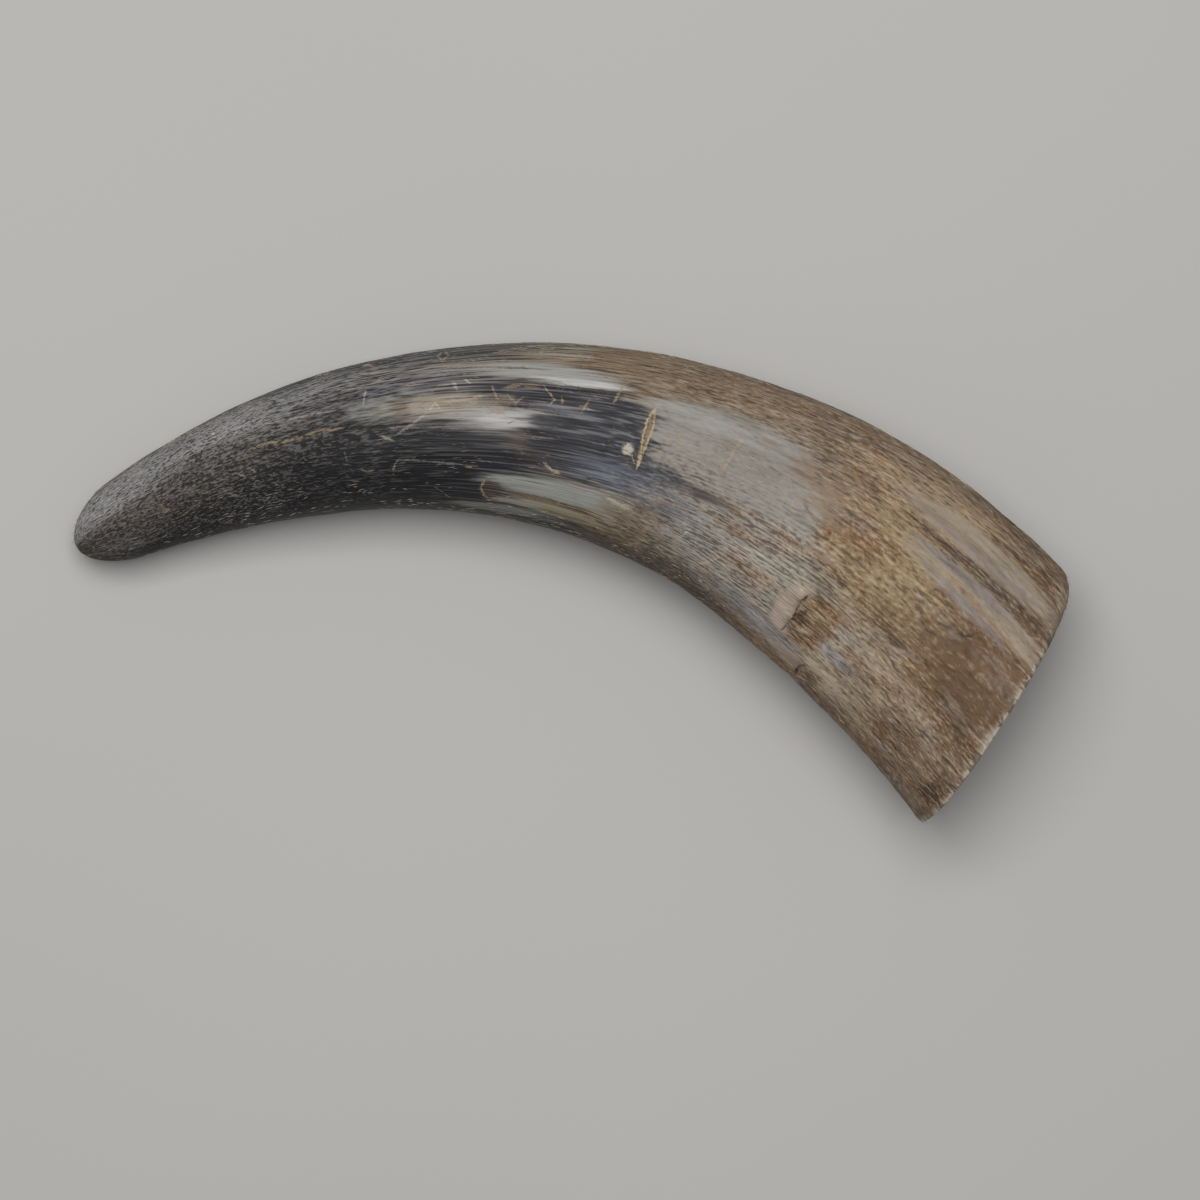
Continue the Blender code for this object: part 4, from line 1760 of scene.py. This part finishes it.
        # Even lines along the lower side, and cracks that open in the bare horn.
        wavy = around + broad * self.line_wander
        lines = graph.math("SINE", wavy * (math.tau / self.line_gap))
        beside = graph.math("ABSOLUTE", around - self.lined_middle)
        lined = graph.step(drawn, *self.lined_from) * graph.step(drawn, *self.lined_to)
        lined = lined * graph.step(beside, *self.lined_reach)
        split = grain * self.fissure_scale + self.fissure_shift
        fissure = self.thread(graph, split, 2.0, self.fissure_width)
        fissure = fissure * graph.step(blot, *self.fissure_span) * base * keen
        relief = groove * self.groove_height + tick * self.tick_height
        relief = relief + grit * self.grit_height + hatch * self.hatch_height
        relief = relief * (keen * self.varied(base, self.speckle))
        relief = relief + lines * lined * self.line_height - fissure * self.fissure_depth
        # Dust and painted highlight on the high points of the fine relief, dirt and painted shade in its
        # low points.
        light = graph.step(relief, *self.light_span) * (keen * self.varied(base, self.light))
        dark = graph.step(relief, *self.dark_span) * (keen * self.varied(base, self.dark))
        pale = graph.step(drawn, *self.pale_span)
        dust_and_highlight = graph.tinted(pale, paint(self.dust_grey), paint(self.dust_cream))
        dirt = graph.tinted(bare, paint(self.dirt_black), paint(self.dirt_brown))
        colour = graph.tinted(light, graph.tinted(dark, colour, dirt), dust_and_highlight)
        colour = self.rimmed(graph, colour, around, blot, stain + grit * 0.25)
        # Painted shade of the inner side of the bend, and a darker band round the tip.
        grime = self.grime(graph, around, drawn)
        # Painted light and shade: the colour is lighter on raised relief and darker in its low places.
        shade = relief * self.relief_shade + hills * self.hill_shade - grime
        return {
            "Base Color": graph.shaded(colour, shade),
            "Roughness": 0.66 - calm * 0.24 + groove * 0.2,
            "Specular IOR Level": self.shine,
            "Normal": graph.bumped(relief * self.bump),
        }


@dataclass(frozen=True)
class SawnFace(Finish):
    """The sawn end of the wall, with the layers of the horn and the strokes of the saw."""

    name: str = "sawn horn"
    outer: str = "7f6d56"
    middle: str = "a0968a"
    inner: str = "6c5f50"
    dirt: str = "3b3129"
    wanders: Mottle = Mottle((0.0, 0.16, 0.16))
    stains: Mottle = Mottle((0.3, 0.25, 0.25))
    layer_scale: Triple = (0.0, 0.10, 0.10)
    layers_across: float = 420.0
    stroke_scale: Triple = (60.0, 60.0, 2600.0)
    wall_span: Span = (0.872, 0.912)
    wall_wander: float = 0.012
    outer_span: Span = (0.0, 0.45)
    inner_span: Span = (0.55, 1.0)
    layer_height: float = 0.9
    stroke_height: float = 1.2
    stain_shade: float = 1.2
    dirt_span: Span = (0.70, 0.86)
    dirt_strength: float = 0.7
    bump: float = 0.12

    def look(self, graph: Graph) -> dict[str, Value]:
        """Three layers of colour across the wall, under thin layers, saw strokes and dirt.

        Args:
            graph: The material's tree.

        Returns:
            The surface's values, by name.
        """
        grain = graph.kept(GRAIN)
        across = graph.parts(graph.mapped(BAKE_MAP))[0]
        wander = self.wanders.over(graph, grain) * self.wall_wander
        deep = graph.step(across + wander, *self.wall_span)
        past_outer, past_middle = (graph.step(deep, *s) for s in (self.outer_span, self.inner_span))
        colour = graph.tinted(past_outer, paint(self.outer), paint(self.middle))
        colour = graph.tinted(past_middle, colour, paint(self.inner))
        lined = grain * self.layer_scale + graph.joined(across * self.layers_across, 0.0, 0.0)
        layers = graph.noise(lined, 2.0, 0.6)
        strokes = graph.noise(graph.spot() * self.stroke_scale, 2.0, 0.6)
        stain = self.stains.over(graph, grain)
        relief = (layers - 0.5) * self.layer_height + (strokes - 0.5) * self.stroke_height
        # Painted shade and light: the colour follows the relief of the layers and saw strokes, darker
        # where it is low and lighter where it is high; the stains add their own tone.
        colour = graph.shaded(colour, relief + (stain - 0.5) * self.stain_shade)
        dirty = graph.step(stain + strokes * 0.4, *self.dirt_span) * self.dirt_strength
        return {
            "Base Color": graph.tinted(dirty, colour, paint(self.dirt)),
            "Roughness": 0.72 + relief * 0.15,
            "Normal": graph.bumped(relief * self.bump),
        }


@dataclass(frozen=True)
class HollowWall(Finish):
    """The rough inside of the hollow, with grooves towards its deep end."""

    name: str = "hollow wall"
    brown: str = "4e4235"
    pale: str = "7c6d5a"
    dirt: str = "2a231d"
    grooves: Mottle = Mottle((0.05, 0.45, 0.45), detail=4.0, rough=0.65)
    pits: Mottle = Mottle((0.35, 0.6, 0.6), (2.0, 2.0, 2.0), rough=0.7)
    stains: Mottle = Mottle((0.06, 0.12, 0.12), (6.0, 1.0, 4.0))
    pit_span: Span = (0.52, 0.66)
    pale_span: Span = (0.38, 0.62)
    groove_height: float = 1.6
    pit_depth: float = 0.4
    dirt_strength: float = 0.7
    bump: float = 0.3

    def look(self, graph: Graph) -> dict[str, Value]:
        """Brown and pale stains, with dirt in the pits, and painted shade in the grooves and pits with
        painted light on the ridges.

        Args:
            graph: The material's tree.

        Returns:
            The surface's values, by name.
        """
        grain = graph.kept(GRAIN)
        stain = graph.step(self.stains.over(graph, grain), *self.pale_span)
        pit = graph.step(self.pits.over(graph, grain), *self.pit_span)
        colour = graph.tinted(stain, paint(self.brown), paint(self.pale))
        colour = graph.tinted(pit * self.dirt_strength, colour, paint(self.dirt))
        relief = self.grooves.about_zero(graph, grain) * self.groove_height - pit * self.pit_depth
        return {
            # Painted shade in the grooves and pits and painted light on the ridges: the colour follows the
            # relief.
            "Base Color": graph.shaded(colour, relief),
            "Roughness": 0.84 + relief * 0.1,
            "Normal": graph.bumped(relief * self.bump),
        }


@dataclass(frozen=True)
class PaleFloor(Finish):
    """A pale matt floor with a faint cloud in its tone."""

    name: str = "pale floor"
    darker: str = "c4c2bf"
    lighter: str = "cbc9c6"
    cloud_size: float = 3.0

    def look(self, graph: Graph) -> dict[str, Value]:
        """Two close greys, mixed by soft noise."""
        tone = graph.noise(graph.spot() * self.cloud_size, 2.0)
        return {
            "Base Color": graph.tinted(tone, paint(self.darker), paint(self.lighter)),
            "Roughness": 0.8,
        }


@dataclass(frozen=True)
class Studio:
    """The pale floor, the soft light and the camera."""

    floor_size: float = 6.0
    lamp_place: Triple = (-0.06, 0.24, 1.1)
    lamp_size: float = 0.7
    lamp_power: float = 9.0
    room_grey: float = 0.82
    room_strength: float = 0.22
    camera_offset: Span = (0.00843, -0.00466)
    camera_height: float = 0.9
    lens: float = 108.0
    sensor_width: float = 36.0

    def floor(self) -> bpy.types.Object:
        """Lays the floor just under the horn.

        Returns:
            The floor.
        """
        mesh = bpy.data.meshes.new("floor")
        half = self.floor_size / 2
        corners = [(-half, -half, 0.0), (half, -half, 0.0), (half, half, 0.0), (-half, half, 0.0)]
        mesh.from_pydata(corners, [], [(0, 1, 2, 3)])
        mesh.materials.append(PaleFloor().material())
        floor = bpy.data.objects.new("floor", mesh)
        bpy.context.scene.collection.objects.link(floor)
        return floor

    def lamp(self) -> bpy.types.Object:
        """Hangs the square soft light, facing the horn.

        Returns:
            The light.
        """
        data = bpy.data.lights.new("key light", "AREA")
        data.size = self.lamp_size
        data.energy = self.lamp_power
        lamp = bpy.data.objects.new("key light", data)
        lamp.location = self.lamp_place
        lamp.rotation_euler = (-Vector(self.lamp_place)).to_track_quat("-Z", "Y").to_euler()
        bpy.context.scene.collection.objects.link(lamp)
        return lamp

    def build(self) -> None:
        """Sets up the floor, the light and the camera."""
        scene = bpy.context.scene
        self.floor()
        self.lamp()
        world = bpy.data.worlds.new("soft room")
        world.use_nodes = True
        back = world.node_tree.nodes["Background"]
        back.inputs["Color"].default_value = (*[self.room_grey] * 3, 1.0)
        back.inputs["Strength"].default_value = self.room_strength
        scene.world = world
        scene.view_settings.view_transform = "Standard"
        data = bpy.data.cameras.new("camera")
        data.lens = self.lens
        data.sensor_width = self.sensor_width
        camera = bpy.data.objects.new("camera", data)
        middle = (CAD_BOX[0] + CAD_BOX[1]) / 2
        camera.location = (
            middle[0] + self.camera_offset[0], middle[1] + self.camera_offset[1], self.camera_height
        )
        scene.collection.objects.link(camera)
        scene.camera = camera


def main() -> None:
    """Builds the floor, the light, the camera, the horn and the fibres on it."""
    logging.basicConfig(level=logging.INFO, format="%(name)s: %(message)s")
    Studio().build()
    horn = HornBody().build()
    fibres = LiftedFibres().build(horn)
    for piece in (horn, fibres):
        LOG.info("%s: %d triangles", piece.name, sum(len(f.vertices) - 2 for f in piece.data.polygons))


if __name__ == "__main__":
    main()
